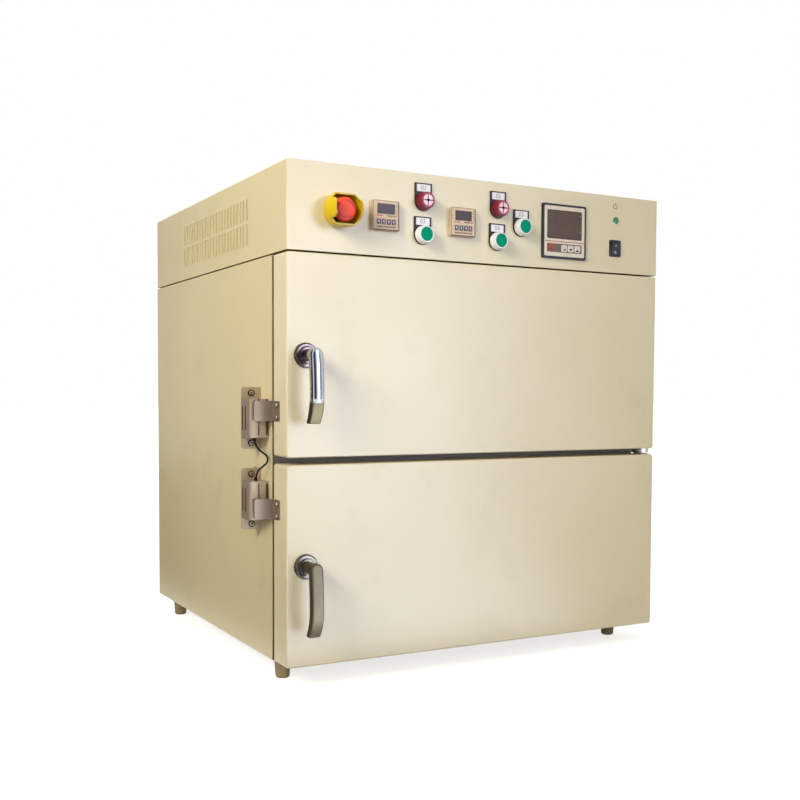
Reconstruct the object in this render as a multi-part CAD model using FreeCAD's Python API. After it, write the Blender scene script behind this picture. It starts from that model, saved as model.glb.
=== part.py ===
import FreeCAD, Part
import math
import os
from FreeCAD import Vector

# Forced-air drying oven with two chambers, one above the other.
# X runs to the right, Y to the rear and Z up. The origin is on the floor, under the middle of the
# oven's outer box. All lengths are in millimetres.

# Cabinet
WIDTH = 750.0
DEPTH = 720.0
FOOT_HEIGHT = 37.0
DOOR_HEIGHT = 323.0
DOOR_GAP = 11.5
DOOR_THICK = 53.0
SEAL_GAP = 9.0
HOOD_SEAM = 2.5
HOOD_HEIGHT = 140.0
SHEET = 1.5
LINER_SHEET = 1.2
TOP_FLANGE = 25.0
SEAM_INSET = 6.0
EDGE_RADIUS = 2.5

# How far pieces reach past the cabinet
LOCK_REACH = 34.0
HINGE_REACH = 34.0
HANDLE_REACH = 52.0
OUTLET_REACH = 52.0

# Chambers
MOUTH_WIDTH = 620.0
MOUTH_HEIGHT = 240.0
MOUTH_RADIUS = 12.0
CHAMBER_DEPTH = 484.0
FRAME_SHEET = 2.0
PLENUM = 60.0
REAR_SLAB = 51.0

# Clearances
SLIDE_CLEAR = 0.3
RUN_CLEAR = 0.05
THRUST_GAP = 0.3

# Doors
DOOR_CORNER = 5.0
DOOR_EDGE = 2.5
DOOR_RETURN = 12.0
LINER_INSET = 3.0
LINER_FLANGE = 1.0
LINER_RAISE = 3.5
LINER_MARGIN = 12.0
GASKET_WIDTH = 14.0
GASKET_OFFSET = 4.0
GASKET_CLEAR = 0.3

# Door handles
HANDLE_INSET = 32.0
ROSE_RADIUS = 20.0
ROSE_THICK = 6.0
ROSE_BOSS_RADIUS = 14.0
ROSE_BOSS = 4.0
NECK_RADIUS = 9.5
SPINDLE_RADIUS = 7.0
SPINDLE_HOLE = 9.0
LEVER_WIDTH = 21.0
LEVER_THICK = 11.0
LEVER_TOP = 10.5
LEVER_DROP = 107.0
LEVER_BEND = 64.0
LEVER_TOP_FRONT = 46.0
LEVER_TIP_FRONT = 37.0
LEVER_ROUND = 3.5
TONGUE_HUB = 10.0
TONGUE_REACH = 24.0
TONGUE_WIDTH = 14.0
TONGUE_THICK = 4.6
TONGUE_GAP = 0.6
STRIKE_WIDTH = 16.0
STRIKE_HEIGHT = 26.0

# Hinges
HINGE_OFFSET = 17.5
TAB_THICK = 9.5
TAB_LENGTH = 34.0
HINGE_LEAF = 3.0
LEAF_LENGTH = 58.0
LEAF_SETBACK = 13.0
LEAF_HEIGHT = 60.0
PIN_RADIUS = 5.0
PIN_LENGTH = 24.0
BARREL_RADIUS = 12.0
BARREL_LENGTH = 26.0
ARM_LEAF_FRONT = 10.0
ARM_LEAF_DEPTH = 40.0
ARM_WEB = 17.0

# Door locks on the left side
LOCK_PLATE_Y = 110.0
LOCK_PLATE_HEIGHT = 101.5
LOCK_PLATE_START = 16.0
LOCK_SHEET = 2.0
LOCK_LEG = 30.0
LOCK_BODY_DEPTH = 37.0
LOCK_BODY_HEIGHT = 62.5
LOCK_BODY_START = 35.5
LOCK_BODY_ROUND = 6.0
LOCK_SLOT_WIDTH = 4.5
LOCK_SLOT_HEIGHT = 39.0
LOCK_SLOT_DEPTH = 1.5
LOCK_SLOT_PITCH = 13.0
LOCK_SLOT_FIRST = 5.0
POLE_GROOVE = 2.0
POLE_GROOVE_X = 18.0
POLE_EDGE = 4.0
POLE_DEPTH = 3.0
KEEPER_REACH = 31.8
KEEPER_START = 62.7
KEEPER_HEIGHT = 32.5
KEEPER_SHEET = 2.0
KEEPER_FLANGE = 30.0
KEEPER_BEND_Y = 57.0
KEEPER_CORNER = 4.0
ARMATURE_THICK = 9.0
ARMATURE_MARGIN = 4.0
ARMATURE_POST = 6.0
ARMATURE_GAP = 0.3
SCREW_HEAD = 4.2
SCREW_HEAD_HEIGHT = 2.4
LEAD_RADIUS = 1.5

# Feet
FOOT_INSET_X = 30.0
FOOT_INSET_FRONT = 29.0
FOOT_INSET_REAR = 55.0
FOOT_TOP_RADIUS = 14.5
FOOT_BOTTOM_RADIUS = 11.5
FOOT_EDGE = 2.0

# Hood louvres, two rows on each side
LOUVRE_COUNT = 23
LOUVRE_PITCH = 15.8
LOUVRE_FIRST = 171.0
LOUVRE_LENGTH = 36.0
LOUVRE_SLOT = 3.0
LOUVRE_WIDTH = 7.0
LOUVRE_PROUD = 1.6
LOUVRE_ROW_LOW = 43.0
LOUVRE_ROW_HIGH = 85.0
REAR_SLOT_COUNT = 14
REAR_SLOT_PITCH = 12.0
REAR_SLOT_WIDTH = 4.0
REAR_SLOT_DROP = 100.0

# Control panel, places from the cabinet's left side and above the hood's lower edge
PANEL_SHEET = 1.5
CUT_CLEAR = 0.3
ESTOP_AT = (87.0, 64.5)
TIMER_AT = ((170.0, 64.0), (317.0, 65.0))
CONTROLLER_AT = (532.0, 65.7)
BUZZER_AT = ((243.0, 94.0), (391.0, 94.0))
BUTTON_AT = ((242.0, 39.0), (389.4, 39.0), (439.4, 66.6))
PILOT_AT = (651.0, 95.8)
ROCKER_AT = (649.7, 44.6)

# Legend plates and push buttons
PLATE_WIDTH = 32.0
PLATE_ABOVE = 30.0
PLATE_THICK = 3.0
PLATE_POCKET = 0.8
PLATE_LABEL_WIDTH = 26.0
PLATE_LABEL_HEIGHT = 12.0
PLATE_LABEL_TOP = 2.0
NECK_22_RADIUS = 11.0
BEZEL_RADIUS = 15.0
BEZEL_PROUD = 14.0
BEZEL_FRONT_RADIUS = 13.4
BEZEL_SLOPE = 6.0
CAP_RADIUS = 11.4
CAP_LENGTH = 7.5
CAP_RECESS = 0.8
CAP_EDGE = 1.2
BUTTON_STEM_RADIUS = 4.0
BUTTON_STEM_LENGTH = 20.0
BUTTON_TRAVEL = 4.0
BLOCK_WIDTH = 28.0
BLOCK_START = 6.0
BLOCK_LENGTH = 34.0

# Alarm buzzers
BUZZER_RADIUS = 15.0
BUZZER_FLANGE = 3.0
BUZZER_ROOT_RADIUS = 14.0
BUZZER_TIP_RADIUS = 13.5
BUZZER_PROUD = 16.0
BUZZER_EDGE = 2.5
BUZZER_MOUTH_RADIUS = 9.5
BUZZER_MOUTH_DEPTH = 3.0
BUZZER_CROSS = 2.2
BUZZER_RIBS = 16
BUZZER_GROOVE = 1.0

# Emergency stop
GUARD_OUTLINE = ((24.6, 0.0), (26.8, 5.0), (28.8, 12.0), (30.0, 20.0), (29.8, 28.0), (28.4, 36.0),
                 (26.4, 42.0), (24.4, 46.0))
GUARD_HEIGHT = 49.0
GUARD_WALL = 2.2
GUARD_BASE = 3.0
GUARD_NOTCH_PROUD = 30.0
GUARD_NOTCH_ROUND = 5.0
GUARD_WING_HALF = 15.0
GUARD_TIP_HALF = 9.0
GUARD_TIP = 7.0
GUARD_HOLE_RADIUS = 2.2
GUARD_HOLE_PROUD = 15.0
GUARD_HOLE_UP = 3.0
ESTOP_COLLAR_RADIUS = 15.0
ESTOP_COLLAR_PROUD = 8.5
ESTOP_HEAD_RADIUS = 19.0
ESTOP_HEAD_THICK = 14.0
ESTOP_HEAD_PROUD = 34.0
ESTOP_RING_RADIUS = 13.0
ESTOP_RING_WIDTH = 0.9
ESTOP_RING_DEPTH = 0.7
ESTOP_SKIRT_RADIUS = 12.5
ESTOP_SKIRT = 10.0
ESTOP_TRAVEL = 6.0
ESTOP_STEM_RADIUS = 5.0
ESTOP_STEM_IN_HEAD = 16.0
ESTOP_STEM_BACK = 10.0
ESTOP_BLOCK_WIDTH = 40.0

# Timers and temperature controller
TIMER_SIZE = 48.0
TIMER_BODY = 44.6
TIMER_PROUD = 9.0
TIMER_DEPTH = 72.0
TIMER_WINDOW = (32.5, 16.5)
TIMER_WINDOW_UP = 10.5
TIMER_PAD = (35.5, 10.0)
TIMER_PAD_DOWN = 10.4
TIMER_PAD_THICK = 1.2
TIMER_KEY = (7.0, 8.0)
TIMER_KEY_PITCH = 9.0
TIMER_KEY_COUNT = 4
TIMER_KEY_PROUD = 0.5
CONTROLLER_SIZE = 96.0
CONTROLLER_BODY = 91.5
CONTROLLER_PROUD = 4.0
CONTROLLER_DEPTH = 78.0
CONTROLLER_WINDOW = (76.5, 50.5)
CONTROLLER_WINDOW_UP = 12.0
WINDOW_POCKET = 0.8
KEY_ROW_DOWN = 29.4
KEY_NAMES = ("set", "left", "down", "up")
KEY_PLACES = (-30.2, -0.8, 13.9, 28.6)
KEY_SIZES = ((13.2, 11.6), (12.6, 11.8), (12.6, 11.8), (12.6, 11.8))
KEY_PROUD = 0.6
KEY_LENGTH = 3.2
KEY_TRAVEL = 0.8
KEY_ROUND = 2.4
KEY_CLEAR = 0.25
FACE_ROUND = 2.0

# Pilot light and rocker switch
PILOT_RADIUS = 6.3
PILOT_PROUD = 3.0
PILOT_NECK_RADIUS = 5.0
PILOT_LENGTH = 22.0
ROCKER_FRAME = (25.5, 30.0)
ROCKER_FRAME_PROUD = 2.0
ROCKER_BODY = (23.2, 27.0)
ROCKER_BODY_DEPTH = 24.0
ROCKER_WIDTH = 19.0
ROCKER_RADIUS = 12.1
ROCKER_SWING = 20.0
ROCKER_LEAN = 17.0
ROCKER_DIP = 3.0
ROCKER_BACK = 5.0
ROCKER_BACK_HALF = 7.0
TRUNNION_RADIUS = 1.5
TRUNNION_LENGTH = 1.2

# Air system
IMPELLER_RADIUS = 78.0
IMPELLER_INNER = 52.0
IMPELLER_WIDTH = 38.0
IMPELLER_SHEET = 1.5
IMPELLER_BACK_GAP = 9.0
BLADE_COUNT = 20
BLADE_THICK = 1.5
BLADE_LEAN = 28.0
HUB_RADIUS = 12.0
HUB_LENGTH = 24.0
SHAFT_RADIUS = 5.0
SHAFT_IN_MOTOR = 40.0
SHAFT_HOLE = 10.0
INLET_RADIUS = 55.0
INLET_LIP = 4.0
BAFFLE_CLEAR = 0.5
BAFFLE_SLOTS = 7
BAFFLE_SLOT = (10.0, 120.0)
BAFFLE_SLOT_PITCH = 22.0
BAFFLE_SLOT_FIRST = 150.0
HEATER_RADIUS = 98.0
HEATER_TUBE = 4.0
HEATER_LEG_SPREAD = 14.0
HEATER_BACK = 30.0
MOTOR_RADIUS = 46.0
MOTOR_LENGTH = 78.0
MOTOR_FLANGE = 130.0
MOTOR_FLANGE_THICK = 4.0
MOTOR_POST_RADIUS = 5.0
MOTOR_POST_PLACE = 52.0
MOTOR_FIN = 3.0
MOTOR_FIN_COUNT = 7
PROBE_RADIUS = 2.5
PROBE_INSET = 75.0
PROBE_DROP = 50.0
PROBE_FRONT = 26.0
PROBE_HEAD_RADIUS = 7.0
PROBE_HEAD = 14.0
OUTLET_INSET = 75.0
OUTLET_DROP = 52.0
OUTLET_RADIUS = 25.0
OUTLET_WALL = 1.5
OUTLET_COLLAR_RADIUS = 36.0
OUTLET_COLLAR = 2.0

# Shelves
SHELF_LEVELS = (78.0, 156.0)
RAIL_WIDTH = 14.0
RAIL_HEIGHT = 12.0
RAIL_SHEET = 1.5
RAIL_FRONT = 16.0
RAIL_REAR = 10.0
SHELF_SIDE_CLEAR = 3.0
SHELF_FRONT = 24.0
SHELF_REAR = 14.0
FRAME_ROD = 3.0
SHELF_WIRE = 1.5
WIRE_COUNT = 19
WIRE_SINK = 0.5

# Control gear in the hood and cable gland on its rear
GEAR_RAIL = (420.0, 35.0, 7.5)
GEAR_Y = 380.0
GEAR_BLOCKS = ((-170.0, 45.0, 74.0), (-115.0, 45.0, 74.0), (-55.0, 45.0, 58.0), (0.0, 45.0, 58.0),
               (90.0, 110.0, 42.0))
GEAR_BLOCK_DEPTH = 60.0
GLAND_AT = (-250.0, 60.0)
GLAND_RADIUS = 12.0
GLAND_NUT = 15.0
GLAND_PROUD = 26.0
GLAND_NECK = 12.0

# Planes and places that follow from the sizes above
X_LEFT = -(LOCK_REACH + WIDTH + HINGE_REACH) / 2 + LOCK_REACH
X_RIGHT = X_LEFT + WIDTH
X_MID = (X_LEFT + X_RIGHT) / 2
Y_FRONT = -(HANDLE_REACH + DEPTH + OUTLET_REACH) / 2 + HANDLE_REACH
Y_BACK = Y_FRONT + DEPTH
Y_DOOR_BACK = Y_FRONT + DOOR_THICK
Y_FRAME = Y_DOOR_BACK + SEAL_GAP
Y_MOUTH = Y_FRAME + FRAME_SHEET
Y_CHAMBER = Y_MOUTH + CHAMBER_DEPTH
Y_LINER = Y_CHAMBER + LINER_SHEET
Y_BAFFLE = Y_CHAMBER - PLENUM
Y_MOTOR = Y_LINER + REAR_SLAB
Z_BASE = FOOT_HEIGHT
Z_LOWER = Z_BASE
Z_UPPER = Z_BASE + DOOR_HEIGHT + DOOR_GAP
Z_GAP = Z_LOWER + DOOR_HEIGHT + DOOR_GAP / 2
Z_BODY = Z_UPPER + DOOR_HEIGHT
Z_HOOD = Z_BODY + HOOD_SEAM
Z_TOP = Z_HOOD + HOOD_HEIGHT
STOREYS = (("lower", Z_LOWER), ("upper", Z_UPPER))
X_PIVOT = X_RIGHT + HINGE_OFFSET
Y_PIVOT = Y_DOOR_BACK + SEAL_GAP / 2
X_HANDLE = X_LEFT + HANDLE_INSET
X_PROBE = X_MID - MOUTH_WIDTH / 2 + PROBE_INSET
X_OUTLET = X_MID + MOUTH_WIDTH / 2 - OUTLET_INSET
PROBE_RISE = MOUTH_HEIGHT / 2 - PROBE_DROP
OUTLET_RISE = MOUTH_HEIGHT / 2 - OUTLET_DROP
NUDGE = 1.0
TINY = 0.001

NODES = {}


def box(x0, x1, y0, y1, z0, z1):
    """Box between two corners."""
    return Part.makeBox(x1 - x0, y1 - y0, z1 - z0, Vector(x0, y0, z0))


def rod_x(radius, x0, x1, y, z):
    return Part.makeCylinder(radius, x1 - x0, Vector(x0, y, z), Vector(1, 0, 0))


def rod_y(radius, y0, y1, x, z):
    return Part.makeCylinder(radius, y1 - y0, Vector(x, y0, z), Vector(0, 1, 0))


def rod_z(radius, z0, z1, x, y):
    return Part.makeCylinder(radius, z1 - z0, Vector(x, y, z0), Vector(0, 0, 1))


def edges_along(shape, axis):
    """Straight edges of a shape that run along one axis, 0 for X, 1 for Y, 2 for Z."""
    found = []
    for edge in shape.Edges:
        if len(edge.Vertexes) == 2:
            ends = [vertex.Point for vertex in edge.Vertexes]
            run = ends[1] - ends[0]
            if abs(abs(run[axis]) - run.Length) < 1e-6:
                found.append(edge)
    return found


def edges_in_plane(shape, axis, place):
    """Edges of a shape that lie in the plane where one coordinate has a given value."""
    found = []
    for edge in shape.Edges:
        low = (edge.BoundBox.XMin, edge.BoundBox.YMin, edge.BoundBox.ZMin)[axis]
        high = (edge.BoundBox.XMax, edge.BoundBox.YMax, edge.BoundBox.ZMax)[axis]
        if abs(low - place) < 1e-4 and abs(high - place) < 1e-4:
            found.append(edge)
    return found


def slab_y(x0, x1, z0, z1, y0, y1, radius):
    """Slab that runs along Y, with rounded corners in the front view."""
    slab = box(x0, x1, y0, y1, z0, z1)
    return slab.makeFillet(radius, edges_along(slab, 1))


def plate_at(centre, size, y0, y1, radius):
    """Rounded slab around a centre given as X and Z."""
    half_x = size[0] / 2
    half_z = size[1] / 2
    return slab_y(centre[0] - half_x, centre[0] + half_x, centre[1] - half_z, centre[1] + half_z,
                  y0, y1, radius)


def turned(points, x, z):
    """Solid of revolution about a line along Y through X and Z, from pairs of radius and Y."""
    path = [Vector(x + radius, y, z) for radius, y in points]
    face = Part.Face(Part.makePolygon(path + path[:1]))
    return face.revolve(Vector(x, 0, z), Vector(0, 1, 0), 360)


def fused(pieces):
    """One solid from touching pieces, with faces in one plane merged."""
    return pieces[0].multiFuse(pieces[1:]).removeSplitter()


def keep(name, solids):
    """Store a node as one solid or as a group of separate solids."""
    NODES[name] = solids[0] if len(solids) == 1 else Part.makeCompound(solids)


def on_panel(place):
    """Row-frame X and Z of a place on the control panel."""
    return X_LEFT + place[0], Z_HOOD + place[1]


def storey_middle(z_bottom):
    return z_bottom + DOOR_HEIGHT / 2


# Cabinet

def body_shell():
    """Base and two sides bent from one sheet, with flanges along the top."""
    outer = box(X_LEFT, X_RIGHT, Y_FRAME, Y_BACK, Z_BASE, Z_BODY)
    outer = outer.makeFillet(EDGE_RADIUS, [
        edge for edge in edges_along(outer, 1) if edge.BoundBox.ZMax < Z_BODY - NUDGE])
    inner = box(X_LEFT + SHEET, X_RIGHT - SHEET, Y_FRAME - NUDGE, Y_BACK + NUDGE,
                Z_BASE + SHEET, Z_BODY - SHEET)
    top = box(X_LEFT + TOP_FLANGE, X_RIGHT - TOP_FLANGE, Y_FRAME - NUDGE, Y_BACK + NUDGE,
              Z_BODY - 2 * SHEET, Z_BODY + NUDGE)
    keep("body_shell", [outer.cut(inner).cut(top)])


def front_frame():
    """Sealing face around both chamber mouths, with a strike pad for each latch tongue."""
    pieces = [box(X_LEFT + SHEET, X_RIGHT - SHEET, Y_FRAME, Y_MOUTH, Z_BASE + SHEET, Z_BODY - SHEET)]
    tongue_back = Y_DOOR_BACK + LINER_FLANGE + TONGUE_GAP + TONGUE_THICK
    for _, z_bottom in STOREYS:
        middle = storey_middle(z_bottom)
        pad_right = X_HANDLE - SPINDLE_RADIUS - TONGUE_GAP
        pieces.append(box(pad_right - STRIKE_WIDTH, pad_right, tongue_back + SLIDE_CLEAR, Y_FRAME,
                          middle - STRIKE_HEIGHT / 2, middle + STRIKE_HEIGHT / 2))
    frame = fused(pieces)
    for _, z_bottom in STOREYS:
        frame = frame.cut(chamber_prism(z_bottom, 0, Y_FRAME - NUDGE, Y_MOUTH + NUDGE))
    keep("front_frame", [frame])


def chamber_prism(z_bottom, grow, y0, y1):
    """Prism of the chamber's section, larger all round by grow."""
    middle = storey_middle(z_bottom)
    return slab_y(X_MID - MOUTH_WIDTH / 2 - grow, X_MID + MOUTH_WIDTH / 2 + grow,
                  middle - MOUTH_HEIGHT / 2 - grow, middle + MOUTH_HEIGHT / 2 + grow,
                  y0, y1, MOUTH_RADIUS + grow)


def rear_holes(z_bottom, y0, y1):
    """Rods for the holes that the shaft, outlet, probe and heater legs need."""
    middle = storey_middle(z_bottom)
    rods = [rod_y(SHAFT_HOLE, y0, y1, X_MID, middle),
            rod_y(OUTLET_RADIUS, y0, y1, X_OUTLET, middle + OUTLET_RISE),
            rod_y(PROBE_RADIUS + SLIDE_CLEAR, y0, y1, X_PROBE, middle + PROBE_RISE)]
    for side in (-1, 1):
        rods.append(rod_y(HEATER_TUBE + SLIDE_CLEAR, y0, y1, X_MID + side * HEATER_LEG_SPREAD,
                          middle - HEATER_RADIUS))
    return rods


def chambers():
    """Five-sided inner boxes of stainless sheet."""
    for name, z_bottom in STOREYS:
        outer = chamber_prism(z_bottom, LINER_SHEET, Y_MOUTH, Y_LINER)
        inner = chamber_prism(z_bottom, 0, Y_MOUTH - NUDGE, Y_CHAMBER)
        liner = outer.cut(inner)
        for rod in rear_holes(z_bottom, Y_CHAMBER - NUDGE, Y_LINER + NUDGE):
            liner = liner.cut(rod)
        keep(name + "_chamber", [liner])


def insulation():
    """Wool slabs below, between, above, beside and behind the chambers."""
    left = X_LEFT + SHEET
    right = X_RIGHT - SHEET
    half = MOUTH_HEIGHT / 2 + LINER_SHEET
    levels = [Z_BASE + SHEET]
    for _, z_bottom in STOREYS:
        middle = storey_middle(z_bottom)
        levels += [middle - half, middle + half]
    levels.append(Z_BODY - 2 * SHEET)
    slabs = []
    for index in (0, 2, 4):
        slabs.append(box(left, right, Y_MOUTH, Y_LINER, levels[index], levels[index + 1]))
    side = MOUTH_WIDTH / 2 + LINER_SHEET
    for index in (1, 3):
        slabs.append(box(left, X_MID - side, Y_MOUTH, Y_LINER, levels[index], levels[index + 1]))
        slabs.append(box(X_MID + side, right, Y_MOUTH, Y_LINER, levels[index], levels[index + 1]))
    rear = box(left, right, Y_LINER, Y_MOTOR, levels[0], levels[-1])
    for _, z_bottom in STOREYS:
        for rod in rear_holes(z_bottom, Y_LINER - NUDGE, Y_MOTOR + NUDGE) + motor_posts(z_bottom):
            rear = rear.cut(rod)
    keep("insulation", slabs + [rear])


def rear_panel():
    """Rear cover of the motor compartment, with air slots and holes for the outlets."""
    panel = box(X_LEFT + SHEET, X_RIGHT - SHEET, Y_BACK - SHEET, Y_BACK, Z_BASE + SHEET, Z_BODY - SHEET)
    for _, z_bottom in STOREYS:
        middle = storey_middle(z_bottom)
        panel = panel.cut(rod_y(OUTLET_RADIUS, Y_BACK - SHEET - NUDGE, Y_BACK + NUDGE,
                                X_OUTLET, middle + OUTLET_RISE))
        panel = panel.cut(slot_row(middle - REAR_SLOT_DROP))
    keep("rear_panel", [panel])


def slot_row(z_low):
    """Row of upright slots through the rear sheet."""
    row = []
    for index in range(REAR_SLOT_COUNT):
        x = X_MID + (index - (REAR_SLOT_COUNT - 1) / 2) * REAR_SLOT_PITCH
        row.append(box(x - REAR_SLOT_WIDTH / 2, x + REAR_SLOT_WIDTH / 2, Y_BACK - SHEET - NUDGE,
                       Y_BACK + NUDGE, z_low, z_low + LOUVRE_LENGTH))
    return Part.makeCompound(row)


def feet():
    """Four tapered rubber feet."""
    solids = []
    for x in (X_LEFT + FOOT_INSET_X, X_RIGHT - FOOT_INSET_X):
        for y in (Y_FRAME + FOOT_INSET_FRONT, Y_BACK - FOOT_INSET_REAR):
            cone = Part.makeCone(FOOT_BOTTOM_RADIUS, FOOT_TOP_RADIUS, FOOT_HEIGHT, Vector(x, y, 0))
            solids.append(cone.makeChamfer(FOOT_EDGE, edges_in_plane(cone, 2, 0)))
    keep("feet", solids)


# Hood

def louvres(side, y_start):
    """Slots and pressed fins of both louvre rows on one side, -1 for left and 1 for right."""
    outer = X_LEFT if side < 0 else X_RIGHT
    slots = []
    fins = []
    for row in (LOUVRE_ROW_LOW, LOUVRE_ROW_HIGH):
        z0 = Z_HOOD + row - LOUVRE_LENGTH / 2
        z1 = z0 + LOUVRE_LENGTH
        for index in range(LOUVRE_COUNT):
            y = y_start + index * LOUVRE_PITCH
            slots.append(box(outer - SHEET - NUDGE, outer + SHEET + NUDGE, y, y + LOUVRE_SLOT, z0, z1))
            corners = [Vector(outer, y + LOUVRE_SLOT, z0), Vector(outer, y + LOUVRE_WIDTH, z0),
                       Vector(outer + side * LOUVRE_PROUD, y + LOUVRE_SLOT, z0)]
            fin = Part.Face(Part.makePolygon(corners + corners[:1]))
            fins.append(fin.extrude(Vector(0, 0, LOUVRE_LENGTH)))
    return slots, fins


def hood_cover():
    """Top, sides and rear of the control hood in one folded piece, open below and in front."""
    outer = box(X_LEFT, X_RIGHT, Y_FRONT + PANEL_SHEET, Y_BACK, Z_HOOD, Z_TOP)
    folds = [edge for edge in edges_along(outer, 1) if edge.BoundBox.ZMin > Z_TOP - NUDGE]
    folds += [edge for edge in edges_along(outer, 0) + edges_along(outer, 2)
              if edge.BoundBox.YMin > Y_BACK - NUDGE and edge.BoundBox.ZMax > Z_TOP - NUDGE]
    outer = outer.makeFillet(EDGE_RADIUS, folds)
    cover = outer.cut(box(X_LEFT + SHEET, X_RIGHT - SHEET, Y_FRONT, Y_BACK - SHEET,
                          Z_HOOD - NUDGE, Z_TOP - SHEET))
    cuts = [rod_y(GLAND_RADIUS, Y_BACK - SHEET - NUDGE, Y_BACK + NUDGE,
                  X_MID + GLAND_AT[0], Z_HOOD + GLAND_AT[1])]
    fins = []
    for side in (-1, 1):
        side_slots, side_fins = louvres(side, Y_FRONT + LOUVRE_FIRST)
        cuts += side_slots
        fins += side_fins
    cuts.append(slot_row(Z_HOOD + LOUVRE_ROW_HIGH - LOUVRE_LENGTH))
    cover = cover.cut(Part.makeCompound(cuts))
    keep("hood_cover", [cover.multiFuse(fins)])


def hood_deck():
    """Floor of the hood, stepped down behind the doors to rest on the body's top flanges."""
    gap = SLIDE_CLEAR
    floor = box(X_LEFT + SHEET + gap, X_RIGHT - SHEET - gap, Y_FRONT + PANEL_SHEET,
                Y_BACK - SHEET - gap, Z_HOOD, Z_HOOD + SHEET)
    step = box(X_LEFT + SEAM_INSET, X_RIGHT - SEAM_INSET, Y_FRAME + SEAM_INSET,
               Y_BACK - SEAM_INSET, Z_BODY, Z_HOOD)
    keep("hood_deck", [fused([floor, step])])


def panel_cutouts():
    """Solids of every hole in the control panel."""
    y0 = Y_FRONT - NUDGE
    y1 = Y_FRONT + PANEL_SHEET + NUDGE
    grow = 2 * CUT_CLEAR
    cuts = []
    for place in (ESTOP_AT,) + BUZZER_AT + BUTTON_AT:
        x, z = on_panel(place)
        cuts.append(rod_y(NECK_22_RADIUS + CUT_CLEAR, y0, y1, x, z))
    for place in TIMER_AT:
        cuts.append(plate_at(on_panel(place), (TIMER_BODY + grow, TIMER_BODY + grow), y0, y1, 1.0))
    size = CONTROLLER_BODY + grow
    cuts.append(plate_at(on_panel(CONTROLLER_AT), (size, size), y0, y1, 1.0))
    x, z = on_panel(PILOT_AT)
    cuts.append(rod_y(PILOT_NECK_RADIUS + CUT_CLEAR, y0, y1, x, z))
    size = (ROCKER_BODY[0] + grow, ROCKER_BODY[1] + grow)
    cuts.append(plate_at(on_panel(ROCKER_AT), size, y0, y1, 1.0))
    return cuts


def control_panel():
    """Front plate of the hood with the holes for its controls."""
    panel = box(X_LEFT, X_RIGHT, Y_FRONT, Y_FRONT + PANEL_SHEET, Z_HOOD, Z_TOP)
    panel = panel.makeFillet(PANEL_SHEET * 0.6, edges_in_plane(panel, 1, Y_FRONT))
    keep("control_panel", [panel.cut(Part.makeCompound(panel_cutouts()))])


# Doors

def door_hole(middle, y0, y1, radius):
    return rod_y(radius, y0, y1, X_HANDLE, middle)


def door(name, z_bottom):
    """Outer pan, inner panel and gasket of one door."""
    middle = storey_middle(z_bottom)
    z_top = z_bottom + DOOR_HEIGHT
    pan = slab_y(X_LEFT, X_RIGHT, z_bottom, z_top, Y_FRONT, Y_DOOR_BACK, DOOR_CORNER)
    pan = pan.makeFillet(DOOR_EDGE, edges_in_plane(pan, 1, Y_FRONT))
    hollow = box(X_LEFT + SHEET, X_RIGHT - SHEET, Y_FRONT + SHEET, Y_DOOR_BACK - SHEET,
                 z_bottom + SHEET, z_top - SHEET)
    hollow = hollow.makeFillet(DOOR_CORNER - SHEET, edges_along(hollow, 1))
    back = box(X_LEFT + DOOR_RETURN, X_RIGHT - DOOR_RETURN, Y_DOOR_BACK - SHEET - NUDGE,
               Y_DOOR_BACK + NUDGE, z_bottom + DOOR_RETURN, z_top - DOOR_RETURN)
    pan = pan.cut(hollow).cut(back)
    pan = pan.cut(door_hole(middle, Y_FRONT - NUDGE, Y_FRONT + SHEET + NUDGE, SPINDLE_HOLE))
    keep(name + "_door_shell", [pan])

    flange_back = Y_DOOR_BACK + LINER_FLANGE
    flange = box(X_LEFT + LINER_INSET, X_RIGHT - LINER_INSET, Y_DOOR_BACK, flange_back,
                 z_bottom + LINER_INSET, z_top - LINER_INSET)
    half_x = MOUTH_WIDTH / 2 - LINER_MARGIN
    half_z = MOUTH_HEIGHT / 2 - LINER_MARGIN
    raised = plate_at((X_MID, middle), (2 * half_x, 2 * half_z), Y_DOOR_BACK,
                      flange_back + LINER_RAISE, MOUTH_RADIUS)
    raised = raised.makeFillet(LINER_RAISE * 0.7, edges_in_plane(raised, 1, flange_back + LINER_RAISE))
    panel = fused([flange, raised])
    hollow = plate_at((X_MID, middle), (2 * (half_x - LINER_RAISE), 2 * (half_z - LINER_RAISE)),
                      Y_DOOR_BACK - NUDGE, Y_DOOR_BACK + LINER_RAISE, MOUTH_RADIUS - LINER_RAISE)
    panel = panel.cut(hollow).cut(door_hole(middle, Y_DOOR_BACK - NUDGE, flange_back + NUDGE,
                                            SPINDLE_HOLE))
    keep(name + "_door_liner", [panel])

    inner = (MOUTH_WIDTH + 2 * GASKET_OFFSET, MOUTH_HEIGHT + 2 * GASKET_OFFSET)
    outer = (inner[0] + 2 * GASKET_WIDTH, inner[1] + 2 * GASKET_WIDTH)
    seal_back = Y_FRAME - GASKET_CLEAR
    ring = plate_at((X_MID, middle), outer, flange_back, seal_back, MOUTH_RADIUS + GASKET_WIDTH)
    ring = ring.cut(plate_at((X_MID, middle), inner, flange_back - NUDGE, seal_back + NUDGE, MOUTH_RADIUS))
    ring = ring.makeFillet(GASKET_WIDTH * 0.3, edges_in_plane(ring, 1, seal_back))
    keep(name + "_door_gasket", [ring])


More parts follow.
